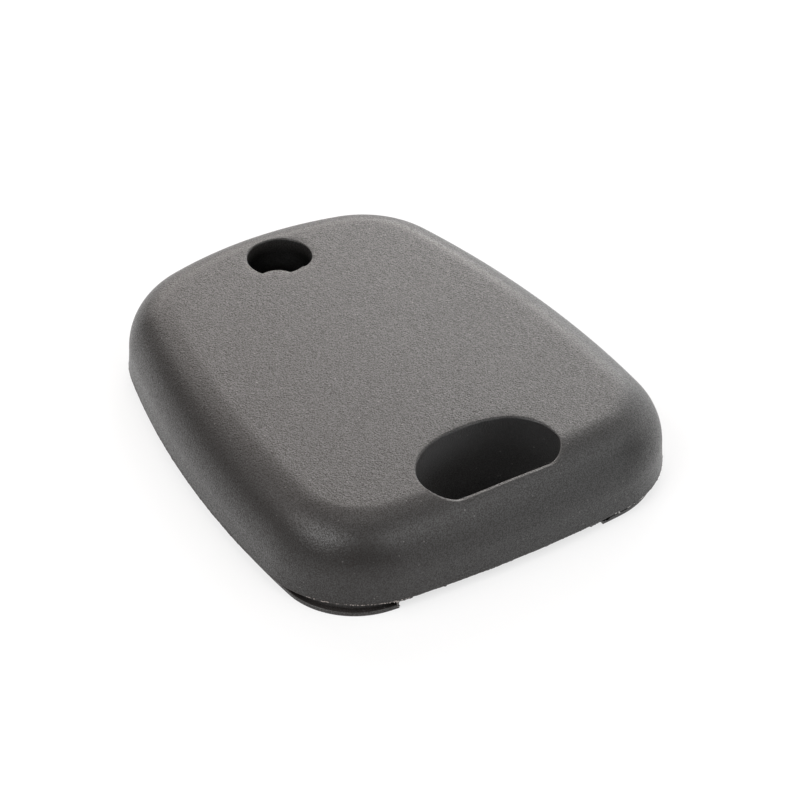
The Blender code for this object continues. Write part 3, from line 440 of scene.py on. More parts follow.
def quarter_turns(steps):
    """Evenly spaced angles from 0 to a quarter turn, both ends included."""
    return [math.pi / 2 * step / steps for step in range(steps + 1)]


def half_outline(arcs, tip_x):
    """Points along the arcs of the +Y half, and its tip at the blade end."""
    half = []
    for arc, steps in zip(arcs, ARC_STEPS):
        half += along_arc(*arc, steps)
    return half + [(tip_x, 0)]


def case_outline(inset):
    """Outline of the case, moved in all round, counter-clockwise from the ring end's middle."""
    arcs = half_arcs(inset, inset, inset, RING_CORNER_RADIUS - inset)
    half = half_outline(arcs, BLADE_END + inset)
    return half + [(x, -y) for x, y in reversed(half[1:-1])]


def rim_outline(inset=0.0):
    """Outline of the front cover's rim, fuller at the ring-end corners than along the sides."""
    halves = []
    for ring_end, side, corner_radius in (RIM_PLUS_Y, RIM_MINUS_Y):
        arcs = half_arcs(
            ring_end + inset, side + inset, RIM_BLADE_END_INSET + inset, corner_radius - inset
        )
        halves.append(half_outline(arcs, BLADE_END + RIM_BLADE_END_INSET + inset))
    return halves[0] + [(x, -y) for x, y in reversed(halves[1][1:-1])]


CASE_ARCS = half_arcs(0, 0, 0, RING_CORNER_RADIUS)


def inset_at(x, y):
    """Distance from a point of the table's plane to the case's outline, inside it."""
    found = []
    for centre, radius, start, end in CASE_ARCS:
        away = Vector((x, abs(y))) - centre
        if start <= math.atan2(away.y, away.x) <= end:
            found.append(radius - away.length)
    return min(found)


def shell_height(x, y):
    """Height of the rear shell's outer surface."""
    inset = inset_at(x, y)
    if inset >= FLAT_INSET:
        return CASE_TOP
    across = (FLAT_INSET - inset) / EDGE_ROUND_DEPTH
    return ROUND_START + EDGE_ROUND_HEIGHT * math.sqrt(max(0, 1 - across**2))


def rounded_rectangle(length, width, radius, centre=(0, 0), steps=8):
    """Outline of a rectangle with rounded corners, counter-clockwise."""
    points = []
    for quarter, (side_x, side_y) in enumerate(((1, 1), (-1, 1), (-1, -1), (1, -1))):
        corner = Vector((
            centre[0] + side_x * (length / 2 - radius), centre[1] + side_y * (width / 2 - radius)
        ))
        start = quarter * math.pi / 2
        points += along_arc(corner, radius, start, start + math.pi / 2, steps)
        end = start + math.pi / 2
        points.append((corner.x + radius * math.cos(end), corner.y + radius * math.sin(end)))
    return points


def arch_point(turn, outset):
    """Point of the eye's arch at one turn from its crown, moved out along its normal."""
    corner_x = EYE_STRAIGHT_X - EYE_CORNER_RADIUS
    depth = EYE_LENGTH - EYE_CORNER_RADIUS
    power = EYE_ARCH_POWERS[turn > 0]
    along = math.cos(turn) ** (2 / power)
    across = abs(math.sin(turn)) ** (2 / power)
    out = Vector((along ** (power - 1) / depth, across ** (power - 1) / EYE_HALF_WIDTH))
    out = out.normalized() * outset
    y = math.copysign(EYE_HALF_WIDTH * across + out.y, turn)
    return corner_x - depth * along - out.x, y


def eye_outline(outset=0.0):
    """Outline of the ring eye, counter-clockwise, moved out by outset."""
    corner_x = EYE_STRAIGHT_X - EYE_CORNER_RADIUS
    corner_y = EYE_HALF_WIDTH - EYE_CORNER_RADIUS
    quarter = math.pi / 2
    radius = EYE_CORNER_RADIUS + outset
    low, high = (Vector((corner_x, side * corner_y)) for side in (-1, 1))
    points = along_arc(low, radius, -quarter, 0, 16)
    for step in range(24):
        points.append((EYE_STRAIGHT_X + outset, low.y + (high.y - low.y) * step / 24))
    points += along_arc(high, radius, 0, quarter, 16)
    points.append((corner_x, high.y + radius))
    return points + [arch_point(quarter * (1 - step / 40), outset) for step in range(1, 80)]


def eased(share):
    """0 to 1 with soft ends, for a share that may lie outside."""
    share = min(1, max(0, share))
    return share * share * (3 - 2 * share)


def well_radius(angle, outset):
    """How far the screw well reaches from its centre in one direction."""
    past = angle - STEP_END
    share = STEP_KINK_SHARE * eased(past / STEP_KINK)
    share += (1 - STEP_KINK_SHARE) * eased(past / STEP_RUN_OUT)
    if angle < LUG_ANGLE:
        share = 1
    bore = STEP_RADIUS + (WELL_RADIUS - STEP_RADIUS) * share + outset
    lug = LUG_RADIUS - outset
    off = abs(angle - LUG_ANGLE)
    if off < math.pi / 2 and LUG_REACH * math.sin(off) < lug:
        near = LUG_REACH * math.cos(off) - math.sqrt(lug**2 - (LUG_REACH * math.sin(off)) ** 2)
        return min(bore, near)
    return bore


def well_outline(outset=0.0):
    """Outline of the screw well with its lug and step, counter-clockwise, moved out by outset."""
    return [well_point(angle, outset) for angle in WELL_ANGLES]


def well_point(angle, outset):
    """Point of the screw well's outline in one direction from its centre, moved out by outset."""
    reach = well_radius(angle, outset)
    return (WELL_X + reach * math.cos(angle), reach * math.sin(angle))


def inside(point, outline):
    """Whether a point lies in a closed outline."""
    x, y = point
    within = False
    for (ax, ay), (bx, by) in zip(outline, outline[1:] + outline[:1]):
        if (ay > y) != (by > y) and x < ax + (bx - ax) * (y - ay) / (by - ay):
            within = not within
    return within


# Meshes


def ring_of(bm, outline, height):
    """Vertices of an outline at one height, or at a height for each point."""
    heights = height if isinstance(height, list) else [height] * len(outline)
    return [bm.verts.new((x, y, z)) for (x, y), z in zip(outline, heights)]


def bridge(bm, rings):
    """Quads between rings with as many vertices each."""
    for lower, upper in zip(rings, rings[1:]):
        for i, low in enumerate(lower):
            j = (i + 1) % len(lower)
            bm.faces.new((low, lower[j], upper[j], upper[i]))


def tube(bm, rings):
    """Closed solid through rings: the walls between them and a face at either end."""
    bridge(bm, rings)
    bm.faces.new(rings[0])
    bm.faces.new(rings[-1])


def fill_patch(bm, outer, holes, extra=()):
    """Fills between a ring of vertices and the holes in it, through extra points."""
    verts = []
    edges = []
    outlines = []
    ring_of_vert = {}
    for ring in (outer, *holes):
        first = len(verts)
        edges += [(first + i, first + (i + 1) % len(ring)) for i in range(len(ring))]
        ring_of_vert.update(dict.fromkeys(ring, len(outlines)))
        outlines.append([(v.co.x, v.co.y) for v in ring])
        verts += ring
    verts += [bm.verts.new(point) for point in extra]
    flat = [Vector((v.co.x, v.co.y)) / MM for v in verts]
    _, _, triangles, origins, _, _ = delaunay_2d_cdt(flat, edges, [], 0, 1e-6)
    for triangle in triangles:
        corners = [verts[origins[i][0]] for i in triangle]
        rings = {ring_of_vert.get(corner) for corner in corners}
        middle = sum((corner.co for corner in corners), Vector()) / 3
        if len(rings) == 1 and None not in rings:
            ring = rings.pop()
            if inside((middle.x, middle.y), outlines[ring]) == (ring > 0):
                continue
        bm.faces.new(corners)


def new_piece(name, bm):
    """Mesh object from a bmesh, smooth apart from its sharp edges."""
    bmesh.ops.recalc_face_normals(bm, faces=bm.faces)
    mesh = bpy.data.meshes.new(name)
    bm.to_mesh(mesh)
    bm.free()
    piece = bpy.data.objects.new(name, mesh)
    bpy.context.scene.collection.objects.link(piece)
    shade(piece)
    return piece


def shade(piece, smooth_below=SMOOTH_BELOW):
    """Shades a piece smooth, apart from the edges that bend more than an angle."""
    piece.data.polygons.foreach_set("use_smooth", [True] * len(piece.data.polygons))
    piece.data.set_sharp_from_angle(angle=smooth_below)


def stack(bm, sections):
    """Closed solid through sections of (outline, height), in a bmesh that may hold others."""
    tube(bm, [ring_of(bm, outline, height) for outline, height in sections])


def closed(name, sections):
    """Closed solid through sections of (outline, height), from the bottom up."""
    bm = bmesh.new()
    stack(bm, sections)
    return new_piece(name, bm)


def turned(name, profile, place=(0, 0), steps=40):
    """Solid of revolution through pairs of radius and height."""
    return closed(name, [(circle(radius, place, steps), height) for radius, height in profile])


def rounded_corner(radius, height, rounding):
    """Profile round a turned part's outer corner, up to its end face."""
    corner = []
    for turn in quarter_turns(5):
        corner.append((
            radius - rounding * (1 - math.cos(turn)), height - rounding * (1 - math.sin(turn))
        ))
    return corner


def lay_along_x(piece, y, z):
    """Turns a part that was made upright so that its axis lies along X, at one Y and Z."""
    for vert in piece.data.vertices:
        vert.co = Vector((vert.co.z, y + vert.co.y, z - vert.co.x))


def rectangle(low, high, inset=0.0):
    """Outline of a rectangle between two corners, moved in by inset."""
    x0, y0, x1, y1 = low[0] + inset, low[1] + inset, high[0] - inset, high[1] - inset
    return [(x0, y0), (x1, y0), (x1, y1), (x0, y1)]


def block(bm, low, high, chamfer=0.0):
    """Box from corner to corner, with a small chamfer round its top."""
    stack(bm, [
        (rectangle(low, high), low[2]), (rectangle(low, high), high[2] - chamfer),
        (rectangle(low, high, chamfer), high[2]),
    ])


def ribbon(bm, path, width, bottom, top):
    """Flat band of one width along a path of places, mitred at its bends."""
    path = [Vector(place) for place in path]
    rings = []
    for i, place in enumerate(path):
        before = (place - path[i - 1]).normalized() if i else (path[1] - place).normalized()
        after = (path[i + 1] - place).normalized() if i + 1 < len(path) else before
        middle = (before + after).normalized()
        reach = width / 2 / max(0.5, middle.dot(after))
        side = Vector((-middle.y, middle.x)) * reach
        rings.append([
            bm.verts.new((*(place + side * way), height))
            for way, height in ((-1, bottom), (1, bottom), (1, top), (-1, top))
        ])
    tube(bm, rings)


def extrude(bm, profile, start, end, place):
    """Solid of one profile between two distances; place turns (across, up, along) into a point."""
    tube(bm, [[bm.verts.new(place(u, v, w)) for u, v in profile] for w in (start, end)])


def prism(name, outline, bottom, top):
    """Upright solid of one outline."""
    return closed(name, [(outline, bottom), (outline, top)])


def round_bar(name, radius, bottom, top, place, steps=40):
    """Upright round solid."""
    return prism(name, circle(radius, place, steps), bottom, top)


def combine(target, other, operation):
    """Joins or cuts with another solid, which is used up."""
    tool = target.modifiers.new("combine", "BOOLEAN")
    tool.operation = operation
    tool.solver = "EXACT"
    tool.object = other
    apply_modifiers(target)
    bpy.data.objects.remove(other)
    return target


def apply_modifiers(piece):
    """Makes the mesh what its modifiers show."""
    bpy.context.view_layer.update()
    graph = bpy.context.evaluated_depsgraph_get()
    mesh = bpy.data.meshes.new_from_object(piece.evaluated_get(graph))
    piece.modifiers.clear()
    piece.data = mesh


def cut(target, other):
    """Takes another solid out of a piece."""
    return combine(target, other, "DIFFERENCE")


def join(target, other):
    """Adds another solid to a piece."""
    return combine(target, other, "UNION")


def place_piece(piece, body, finish, slot, *nodes):
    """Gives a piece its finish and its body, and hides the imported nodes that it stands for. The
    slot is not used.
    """
    piece.data.materials.clear()
    piece.data.materials.append(finishes()[finish])
    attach(piece, body)
    if nodes:
        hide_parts(*nodes)


def board_posts():
    """Places of the posts near the board's corners."""
    low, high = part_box("circuit_board")
    least = inner_inset(BOARD_TOP) + POST_CLEARANCE
    places = []
    for x in (low.x + POST_FROM_EDGE, high.x - POST_FROM_EDGE):
        # Twentieths of a millimetre, from outside the case inwards
        steps = (step * MM / 20 for step in range(480, 0, -1))
        y = next(y for y in steps if inset_at(x, y) >= least) - POST_FROM_EDGE
        places += [(x, y), (x, -y)]
    return places


def inner_inset(height):
    """How far the shell's inner surface lies inside the outline at one height."""
    climb = (height - ROUND_START) / (EDGE_ROUND_HEIGHT - SHELL_ROOF)
    if climb <= 0:
        return SHELL_WALL
    return SHELL_WALL + (FLAT_INSET - SHELL_WALL) * (1 - math.sqrt(1 - min(1, climb) ** 2))


# Rear shell


def edge_section(turn):
    """Inset and height of the shell's rounded edge, from 0 at the wall to 90 degrees on top."""
    return (
        FLAT_INSET - EDGE_ROUND_DEPTH * math.cos(turn),
        ROUND_START + EDGE_ROUND_HEIGHT * math.sin(turn),
    )


def shell_skin(bm):
    """Rings of the shell's outer surface from the seam up to where the holes begin."""
    sections = [
        (SEAM_ROUNDING, SEAM_HEIGHT), (SEAM_ROUNDING * 0.29, SEAM_HEIGHT + SEAM_ROUNDING * 0.29),
        (0, SEAM_HEIGHT + SEAM_ROUNDING),
    ]
    for share in (0.3, 0.65):
        sections.append((WALL_DRAFT * share, SEAM_HEIGHT + (ROUND_START - SEAM_HEIGHT) * share))
    for step in range(LOFT_STEPS + 1):
        sections.append(edge_section(math.radians(LOFT_TURN) * step / LOFT_STEPS))
    rings = [ring_of(bm, case_outline(inset), height) for inset, height in sections]
    bridge(bm, rings)
    return rings[0], rings[-1]


def eye_rim_rings(bm, shape):
    """Rings of the ring eye's rim: a narrow flat land by the wall bar, rounded all round."""
    base = eye_outline()
    outward = [(bx - ax, by - ay) for (ax, ay), (bx, by) in zip(base, eye_outline(1.0))]
    shares = [eased((EYE_STRAIGHT_X - x) / EYE_LENGTH * 1.2) for x, _ in base]
    edges = [shape.near_rim + (shape.far_rim - shape.near_rim) * share for share in shares]
    lands = [edge + shape.rim_land * (1 - share) for edge, share in zip(edges, shares)]
    tops = []
    for (x, y), (out_x, out_y), land in zip(base, outward, lands):
        tops.append(shell_height(x + out_x * land, y + out_y * land))
    profiles = [
        [(land, top) for land, top in zip(lands, tops)],
        [((land + edge) / 2, top) for land, edge, top in zip(lands, edges, tops)],
    ]
    for turn in reversed(quarter_turns(8)):
        profiles.append([
            (edge * (1 - math.cos(turn)), top - edge * (1 - math.sin(turn)))
            for edge, top in zip(edges, tops)
        ])
    rings = []
    for profile in profiles:
        outline = [
            (x + out_x * off, y + out_y * off)
            for (x, y), (out_x, out_y), (off, _) in zip(base, outward, profile)
        ]
        rings.append(ring_of(bm, outline, [height for _, height in profile]))
    bridge(bm, rings)
    return rings[0], rings[-1]


def well_rim_rings(bm, shape):
    """Rings of the screw well's rim, rounded most where the moulding tool was worn."""
    rings = []
    for turn in reversed(quarter_turns(5)):
        outline = []
        heights = []
        for angle in WELL_ANGLES:
            soft = eased(math.cos(angle - SOFT_RIM_ANGLE) + 0.3)
            rounding = shape.well_rim + (shape.soft_well_rim - shape.well_rim) * soft
            outline.append(well_point(angle, rounding * (1 - math.cos(turn))))
            heights.append(shell_height(*outline[-1]) - rounding * (1 - math.sin(turn)))
        rings.append(ring_of(bm, outline, heights))
    bridge(bm, rings)
    return rings[0], rings[-1]


def wall_down(bm, ring, bottom, steps):
    """Straight wall from a ring down to a height, and its last ring."""
    rings = [ring]
    for step in range(1, steps + 1):
        share = step / steps
        rings.append([
            bm.verts.new((v.co.x, v.co.y, v.co.z + (bottom - v.co.z) * share)) for v in ring
        ])
    bridge(bm, rings)
    return rings[-1]


def shell_body(shape):
    """Rear shell as a full block with its outer surface, ring eye, screw well and screw hole."""
    bm = bmesh.new()
    seam_ring, skin_ring = shell_skin(bm)

    eye_top, eye_edge = eye_rim_rings(bm, shape)
    eye_bottom = wall_down(bm, eye_edge, SEAM_HEIGHT, 8)

    well_top, well_edge = well_rim_rings(bm, shape)
    well_floor = wall_down(bm, well_edge, WELL_FLOOR_TOP, 6)
    screw_top = ring_of(bm, circle(SCREW_HOLE_RADIUS, (WELL_X, 0), 40), WELL_FLOOR_TOP)
    fill_patch(bm, well_floor, [screw_top])
    screw_bottom = wall_down(bm, screw_top, SEAM_HEIGHT, 2)

    fill_patch(bm, skin_ring, [eye_top, well_top], patch_points(shape))
    fill_patch(bm, seam_ring, [eye_bottom, screw_bottom])
    return new_piece("rear_shell_moulding", bm)


def patch_points(shape):
    """Points of the patch round the holes, on the rounded edge and in a grid on the flat roof."""
    points = []
    for degrees in range(LOFT_TURN + PATCH_TURN_STEP, 91, PATCH_TURN_STEP):
        inset, height = edge_section(math.radians(degrees))
        points += [(x, y, height) for x, y in case_outline(inset)]
    for row in range(-ROOF_GRID_ROWS, ROOF_GRID_ROWS + 1):
        for column in range(-ROOF_GRID_COLUMNS, ROOF_GRID_COLUMNS + 1):
            x, y = column * MM + ROOF_GRID_SHIFT[0], row * MM + ROOF_GRID_SHIFT[1]
            from_side = MIDDLE_HALF_WIDTH + x * math.tan(SIDE_TAPER) - abs(y)
            spare = min(from_side - ROOF_GRID_FROM_SIDE, inset_at(x, y) - ROOF_GRID_MARGIN)
            if spare > FLAT_INSET:
                points.append((x, y, CASE_TOP))
    holes = (
        eye_outline(shape.near_rim + shape.rim_land + EYE_PATCH_MARGIN),
        well_outline(shape.soft_well_rim + WELL_PATCH_MARGIN),
    )
    return [point for point in points if not any(inside(point[:2], hole) for hole in holes)]


def shell_hollow():
    """Cutter for the inside of the rear shell, round the well, the eye's tube and the posts."""
    sections = [(case_outline(SHELL_WALL), SEAM_HEIGHT - OVERRUN)]
    for turn in quarter_turns(12):
        inset = FLAT_INSET - (FLAT_INSET - SHELL_WALL) * math.cos(turn)
        height = ROUND_START + (EDGE_ROUND_HEIGHT - SHELL_ROOF) * math.sin(turn)
        sections.append((case_outline(inset), height))
    hollow = closed("shell_hollow", sections)
    cut(hollow, round_bar("well_tube", WELL_RADIUS + WELL_WALL, WELL_BOTTOM, CASE_TOP, (WELL_X, 0)))
    cut(hollow, prism("eye_tube", eye_outline(EYE_WALL), TUBE_BOTTOM, CASE_TOP))
    for place in board_posts():
        cut(hollow, round_bar("post", POST_RADIUS, SHELL_POST_BOTTOM, CASE_TOP, place, 24))
    return hollow


def strip_drop(place):
    """How far the thin strips of flash beside the pry notch hang down at a place."""
    hangs = [hang for low, high, hang in FLASH_STRIPS if low * MM < place.y < high * MM]
    return hangs[0] * MM if hangs and place.x > 0 else 0.0


def build_rear_shell(shape):
    """Rear shell: its body made hollow, with the blade slot cut through the narrow end."""
    shell = shell_body(shape)
    cut(shell, shell_hollow())
    outline = rounded_rectangle(
        SLOT_TOP - SLOT_BOTTOM, 2 * SLOT_HALF_WIDTH, SLOT_ROUNDING,
        (-(SLOT_TOP + SLOT_BOTTOM) / 2, 0),
    )
    slot_end = BLADE_END + inner_inset(SLOT_TOP) + SLOT_BREAKTHROUGH
    slot = prism("blade_slot", outline, BLADE_END - OVERRUN, slot_end)
    lay_along_x(slot, 0, 0)
    cut(shell, slot)
    shade(shell, SHELL_SMOOTH_BELOW)
    return shell


# Flash and burrs that the moulding tool left along the rear shell's lower edge


def along_outline(outline, spacing):
    """Evenly spaced points along a closed outline, with the outward direction at each."""
    points = []
    carry = 0.0
    for start, end in zip(outline, outline[1:] + outline[:1]):
        edge = Vector(end) - Vector(start)
        length = edge.length
        out = Vector((edge.y, -edge.x)) / length
        while carry < length:
            points.append((Vector(start) + edge * (carry / length), out))
            carry += spacing
        carry -= length
    return points


def build_seam_flash(shape):
    """Thin ragged ridge of flash round the rear shell's lower edge."""
    bm = bmesh.new()
    sections = []
    for place, out in along_outline(case_outline(0), FLASH_SPACING):
        coarse = noise.noise((*(place / COARSE_FLASH), 3.0))
        fine = noise.noise((*(place / FINE_FLASH), 9.0))
        thick = shape.flash * (0.45 + 0.45 * max(0, coarse) + 0.9 * max(0, fine))
        if place.x > 0 and place.y > THIN_FLASH_FROM_Y:
            thick *= THIN_FLASH_SHARE
        drop = strip_drop(place) * (1 + 0.5 * fine)
        section = (
            (-0.16 * MM, 0.03 * MM), (0.003 * MM, 0.10 * MM), (thick * 0.5, 0.03 * MM),
            (thick * 0.35, -thick * 0.6 - drop), (-0.10 * MM, -thick * 0.5 - drop),
        )
        sections.append([
            bm.verts.new((*(place + out * across), SEAM_HEIGHT + up)) for across, up in section
        ])
    bridge(bm, [*sections, sections[0]])
    return new_piece("seam_flash", bm)


def shard(bm, centre, size, turn, chance):
    """Ragged crumb of plastic, as the hull of scattered points."""
    verts = []
    for _ in range(SHARD_CORNERS):
        spot = Vector((chance.gauss(0, 1), chance.gauss(0, 1), chance.gauss(0, 1))).normalized()
        spot *= chance.uniform(0.75, 1.0)
        along, across, up = (half * part for half, part in zip(size, spot))
        verts.append(bm.verts.new((
            centre[0] + along * math.cos(turn) - across * math.sin(turn),
            centre[1] + along * math.sin(turn) + across * math.cos(turn), centre[2] + up,
        )))
    hull = bmesh.ops.convex_hull(bm, input=verts)
    spare = {v for v in hull["geom_interior"] if isinstance(v, bmesh.types.BMVert)}
    bmesh.ops.delete(bm, geom=list(spare), context="VERTS")


def scattered_specks(low, high, count, bottom, top, biggest):
    """Tiny crumbs at random from y to y and from height to height, in mm."""
    chance = random.Random(count)
    places = []
    for _ in range(count):
        size = chance.uniform(0.5, 1) * biggest
        places.append((chance.uniform(low, high), chance.uniform(bottom, top), 2 * size, size))
    return places


def build_burrs(name, outline, places, proud):
    """Crumbs of plastic along an outline's ring end, standing out by a share of their depth."""
    chance = random.Random(BURR_SEED)
    bm = bmesh.new()
    edge = [spot for spot in along_outline(outline, BURR_SPACING) if spot[0].x > 0]
    for y, z, half_length, half_height in places:
        place, out = min(edge, key=lambda spot: abs(spot[0].y - y * MM))
        depth = min(0.12, 1.2 * half_height) * MM
        size = (half_length * MM, depth, half_height * MM)
        middle = place + out * depth * (proud - 1)
        shard(bm, (*middle, z * MM), size, math.atan2(out.x, -out.y), chance)
    return new_piece(name, bm)


# Front cover


def build_front_cover():
    """Front cover: rim, groove under the shell's wall, tongue inside it, boss, posts, windows."""
    edge = COVER_EDGE
    inner = TONGUE_INSET + TONGUE_THICKNESS
    cover = closed("front_cover_moulding", [
        (rim_outline(edge), 0), (rim_outline(), edge), (rim_outline(), RIM_HEIGHT - edge),
        (rim_outline(edge), RIM_HEIGHT), (rim_outline(GROOVE_DEPTH), RIM_HEIGHT),
        (rim_outline(GROOVE_DEPTH), SHOULDER_TOP), (case_outline(TONGUE_INSET), SHOULDER_TOP),
        (case_outline(TONGUE_INSET), TONGUE_TOP - edge),
        (case_outline(TONGUE_INSET + edge), TONGUE_TOP),
        (case_outline(inner - edge), TONGUE_TOP), (case_outline(inner), TONGUE_TOP - edge),
        (case_outline(inner), PLATE_TOP),
    ])
    sunk = PLATE_TOP / 2
    join(cover, round_bar("boss", BOSS_RADIUS, sunk, BOSS_TOP, (WELL_X, 0)))
    for place in board_posts():
        join(cover, round_bar("post", POST_RADIUS, sunk, COVER_POST_TOP, place, 24))
    cut(cover, round_bar("pilot", PILOT_RADIUS, PILOT_FLOOR, BOSS_TOP + OVERRUN, (WELL_X, 0)))
    cut(cover, prism(
        "tube_seat", eye_outline(EYE_WALL + SIDE_GAP), PLATE_TOP - SEAT_GAP, TONGUE_TOP + OVERRUN
    ))
    cut(cover, prism("eye", eye_outline(), -OVERRUN, TONGUE_TOP + OVERRUN))
    notch = rectangle((NOTCH_X, NOTCH_FROM), (RING_END + OVERRUN, NOTCH_TO))
    cut(cover, prism("notch", notch, -OVERRUN, TONGUE_TOP + OVERRUN))
    for button in BUTTONS:
        length, width, centre = button_size(button)
        window = rounded_rectangle(
            length + 2 * BUTTON_GAP, width + 2 * BUTTON_GAP, BUTTON_CORNER_RADIUS + BUTTON_GAP,
            centre,
        )
        cut(cover, prism("window", window, -OVERRUN, PLATE_TOP + OVERRUN))
    shade(cover)
    return cover


def button_size(name):
    """Length, width and centre of a button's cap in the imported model, without its flange."""
    low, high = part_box(name)
    return high.x - low.x - 2 * FLANGE, high.y - low.y - 2 * FLANGE, middle_of(low, high)


# Screw and buttons


def build_case_screw():
    """Pan-head screw with a rolled thread and a tapered cross recess."""
    low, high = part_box("case_screw")
    place = ((low.x + high.x) / 2, 0)
    under_head = high.z - HEAD_HEIGHT
    head = [(HEAD_RADIUS - HEAD_EDGE, under_head), (HEAD_RADIUS, under_head + HEAD_EDGE)]
    head += rounded_corner(HEAD_RADIUS, high.z - 0.06 * MM, HEAD_ROUNDING)
    head += [(HEAD_RADIUS - 0.9 * MM, high.z - 0.02 * MM), (0.2 * MM, high.z)]
    screw = turned("case_screw_detail", head, place, 48)
    for turn in (0, math.pi / 2):
        along = Vector((math.cos(turn), math.sin(turn)))
        side = Vector((-along.y, along.x))
        sections = []
        for share in (0, 1):
            reach = (0.42 + 0.78 * share) * MM
            half = (0.14 + 0.13 * share) * MM
            outline = [
                Vector(place) + along * a * reach + side * s * half
                for a, s in ((-1, -1), (1, -1), (1, 1), (-1, 1))
            ]
            sections.append((outline, high.z - RECESS_DEPTH + 0.78 * MM * share))
        cut(screw, closed("recess", sections))
    return join(screw, screw_thread(place[0], low.z, under_head))


def screw_thread(x, tip, under_head, steps=36):
    """Rolled thread from the screw's tapered tip up to its head."""
    sections = []
    count = round((under_head - tip) / THREAD_PITCH * 12)
    for ring in range(count + 1):
        height = tip + (under_head + 0.05 * MM - tip) * ring / count
        taper = eased((height - tip) / THREAD_TIP)
        depth = (THREAD_CREST - THREAD_ROOT) * taper * eased((under_head - height) / THREAD_RUN_OUT)
        outline = []
        for step in range(steps):
            angle = 2 * math.pi * step / steps
            phase = (height / THREAD_PITCH - step / steps) % 1
            ridge = max(0, 1 - abs(2 * phase - 1) * 1.6)
            reach = THREAD_ROOT * (0.55 + 0.45 * taper) + ridge * depth
            outline.append((x + reach * math.cos(angle), reach * math.sin(angle)))
        sections.append((outline, height))
    return closed("thread", sections)


def build_button(name):
    """Button cap with a dished face, rounded edge, flange, pusher and a raised mark to feel."""
    length, width, centre = button_size(name)
    low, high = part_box(name)

    def section(outset, height):
        radius = max(0.25 * MM, BUTTON_CORNER_RADIUS + outset)
        outline = rounded_rectangle(length + 2 * outset, width + 2 * outset, radius, centre)
        return outline, height

    face = low.z
    sections = [section(-across * MM, face + dish * MM) for across, dish in BUTTON_DISH]
    for turn in quarter_turns(6):
        sections.append(section(
            -BUTTON_ROUNDING * (1 - math.sin(turn)), face + BUTTON_ROUNDING * (1 - math.cos(turn))
        ))
    for outset, height in (
        (0, FLANGE_BOTTOM), (FLANGE - FLANGE_EDGE, FLANGE_BOTTOM),
        (FLANGE, FLANGE_BOTTOM + FLANGE_EDGE), (FLANGE, FLANGE_TOP - FLANGE_EDGE),
        (FLANGE - FLANGE_EDGE, FLANGE_TOP),
    ):
        sections.append(section(outset, height))
    button = closed(name + "_cap", sections)
    join(button, turned("pusher", [
        (PUSHER_RADIUS, FLANGE_TOP - 0.1 * MM),
        *rounded_corner(PUSHER_RADIUS, high.z, FLANGE_EDGE),
    ], centre))
    top, bottom = face + 0.30 * MM, face + 0.04 * MM
    if name == "lock_button":
        outer = rounded_rectangle(0.7 * MM, 3.4 * MM, 0.34 * MM, centre)
        inner = rounded_rectangle(0.54 * MM, 3.24 * MM, 0.26 * MM, centre)
        mark = closed("bar_mark", [(outer, top), (outer, bottom + 0.06 * MM), (inner, bottom)])
    else:
        mark = turned("ring_mark", [
            (1.35 * MM, top), (1.35 * MM, bottom + 0.06 * MM), (1.27 * MM, bottom),
        ], centre)
        cut(mark, round_bar("ring_hole", 0.8 * MM, bottom - MM, top + MM, centre))
    join(button, mark)
    shade(button)
    return button


# Board and what stands on it


def board_pads():
    """Bare pads on the board's upper side, as low and high corners."""
    pads = []
    for name in PASSIVES:
        low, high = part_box(name)
        at_ends = (low.x - 0.35 * MM, low.x + 0.5 * MM), (high.x - 0.5 * MM, high.x + 0.35 * MM)
        for x0, x1 in at_ends:
            pads.append(((x0, low.y - 0.08 * MM), (x1, high.y + 0.08 * MM)))
    low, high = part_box("controller_chip")
    for x in chip_lead_places():
        for y0 in (low.y - 0.15 * MM, high.y - 0.6 * MM):
            pads.append(((x - 0.22 * MM, y0), (x + 0.22 * MM, y0 + 0.75 * MM)))
    low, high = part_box("radio_resonator")
    for x in (low.x, low.x + 1.5 * MM, high.x - 2.3 * MM, high.x - 0.8 * MM):
        for y in (low.y - 0.3 * MM, high.y - 0.4 * MM):
            pads.append(((x, y), (x + 0.8 * MM, y + 0.7 * MM)))
    low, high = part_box("crystal")
    for y in (low.y + 0.3 * MM, high.y - 1.0 * MM):
        pads.append(((low.x - 1.1 * MM, y), (low.x - 0.3 * MM, y + 0.7 * MM)))
    low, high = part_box("battery_clip")
    for x in (low.x - 0.3 * MM, high.x - 1.3 * MM):
        pads.append(((x, low.y - 0.2 * MM), (x + 1.6 * MM, high.y + 0.2 * MM)))
    low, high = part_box("transponder_capsule")
    for x in (low.x - 0.9 * MM, high.x - 0.2 * MM):
        pads.append(((x, low.y + 0.4 * MM), (x + 1.1 * MM, high.y - 0.4 * MM)))
    return pads


def chip_lead_places():
    """Where the leads on one side of the chip stand along X."""
    low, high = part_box("controller_chip")
    first = (low.x + high.x) / 2 - (LEADS_A_SIDE - 1) / 2 * LEAD_PITCH
    return [first + number * LEAD_PITCH for number in range(LEADS_A_SIDE)]


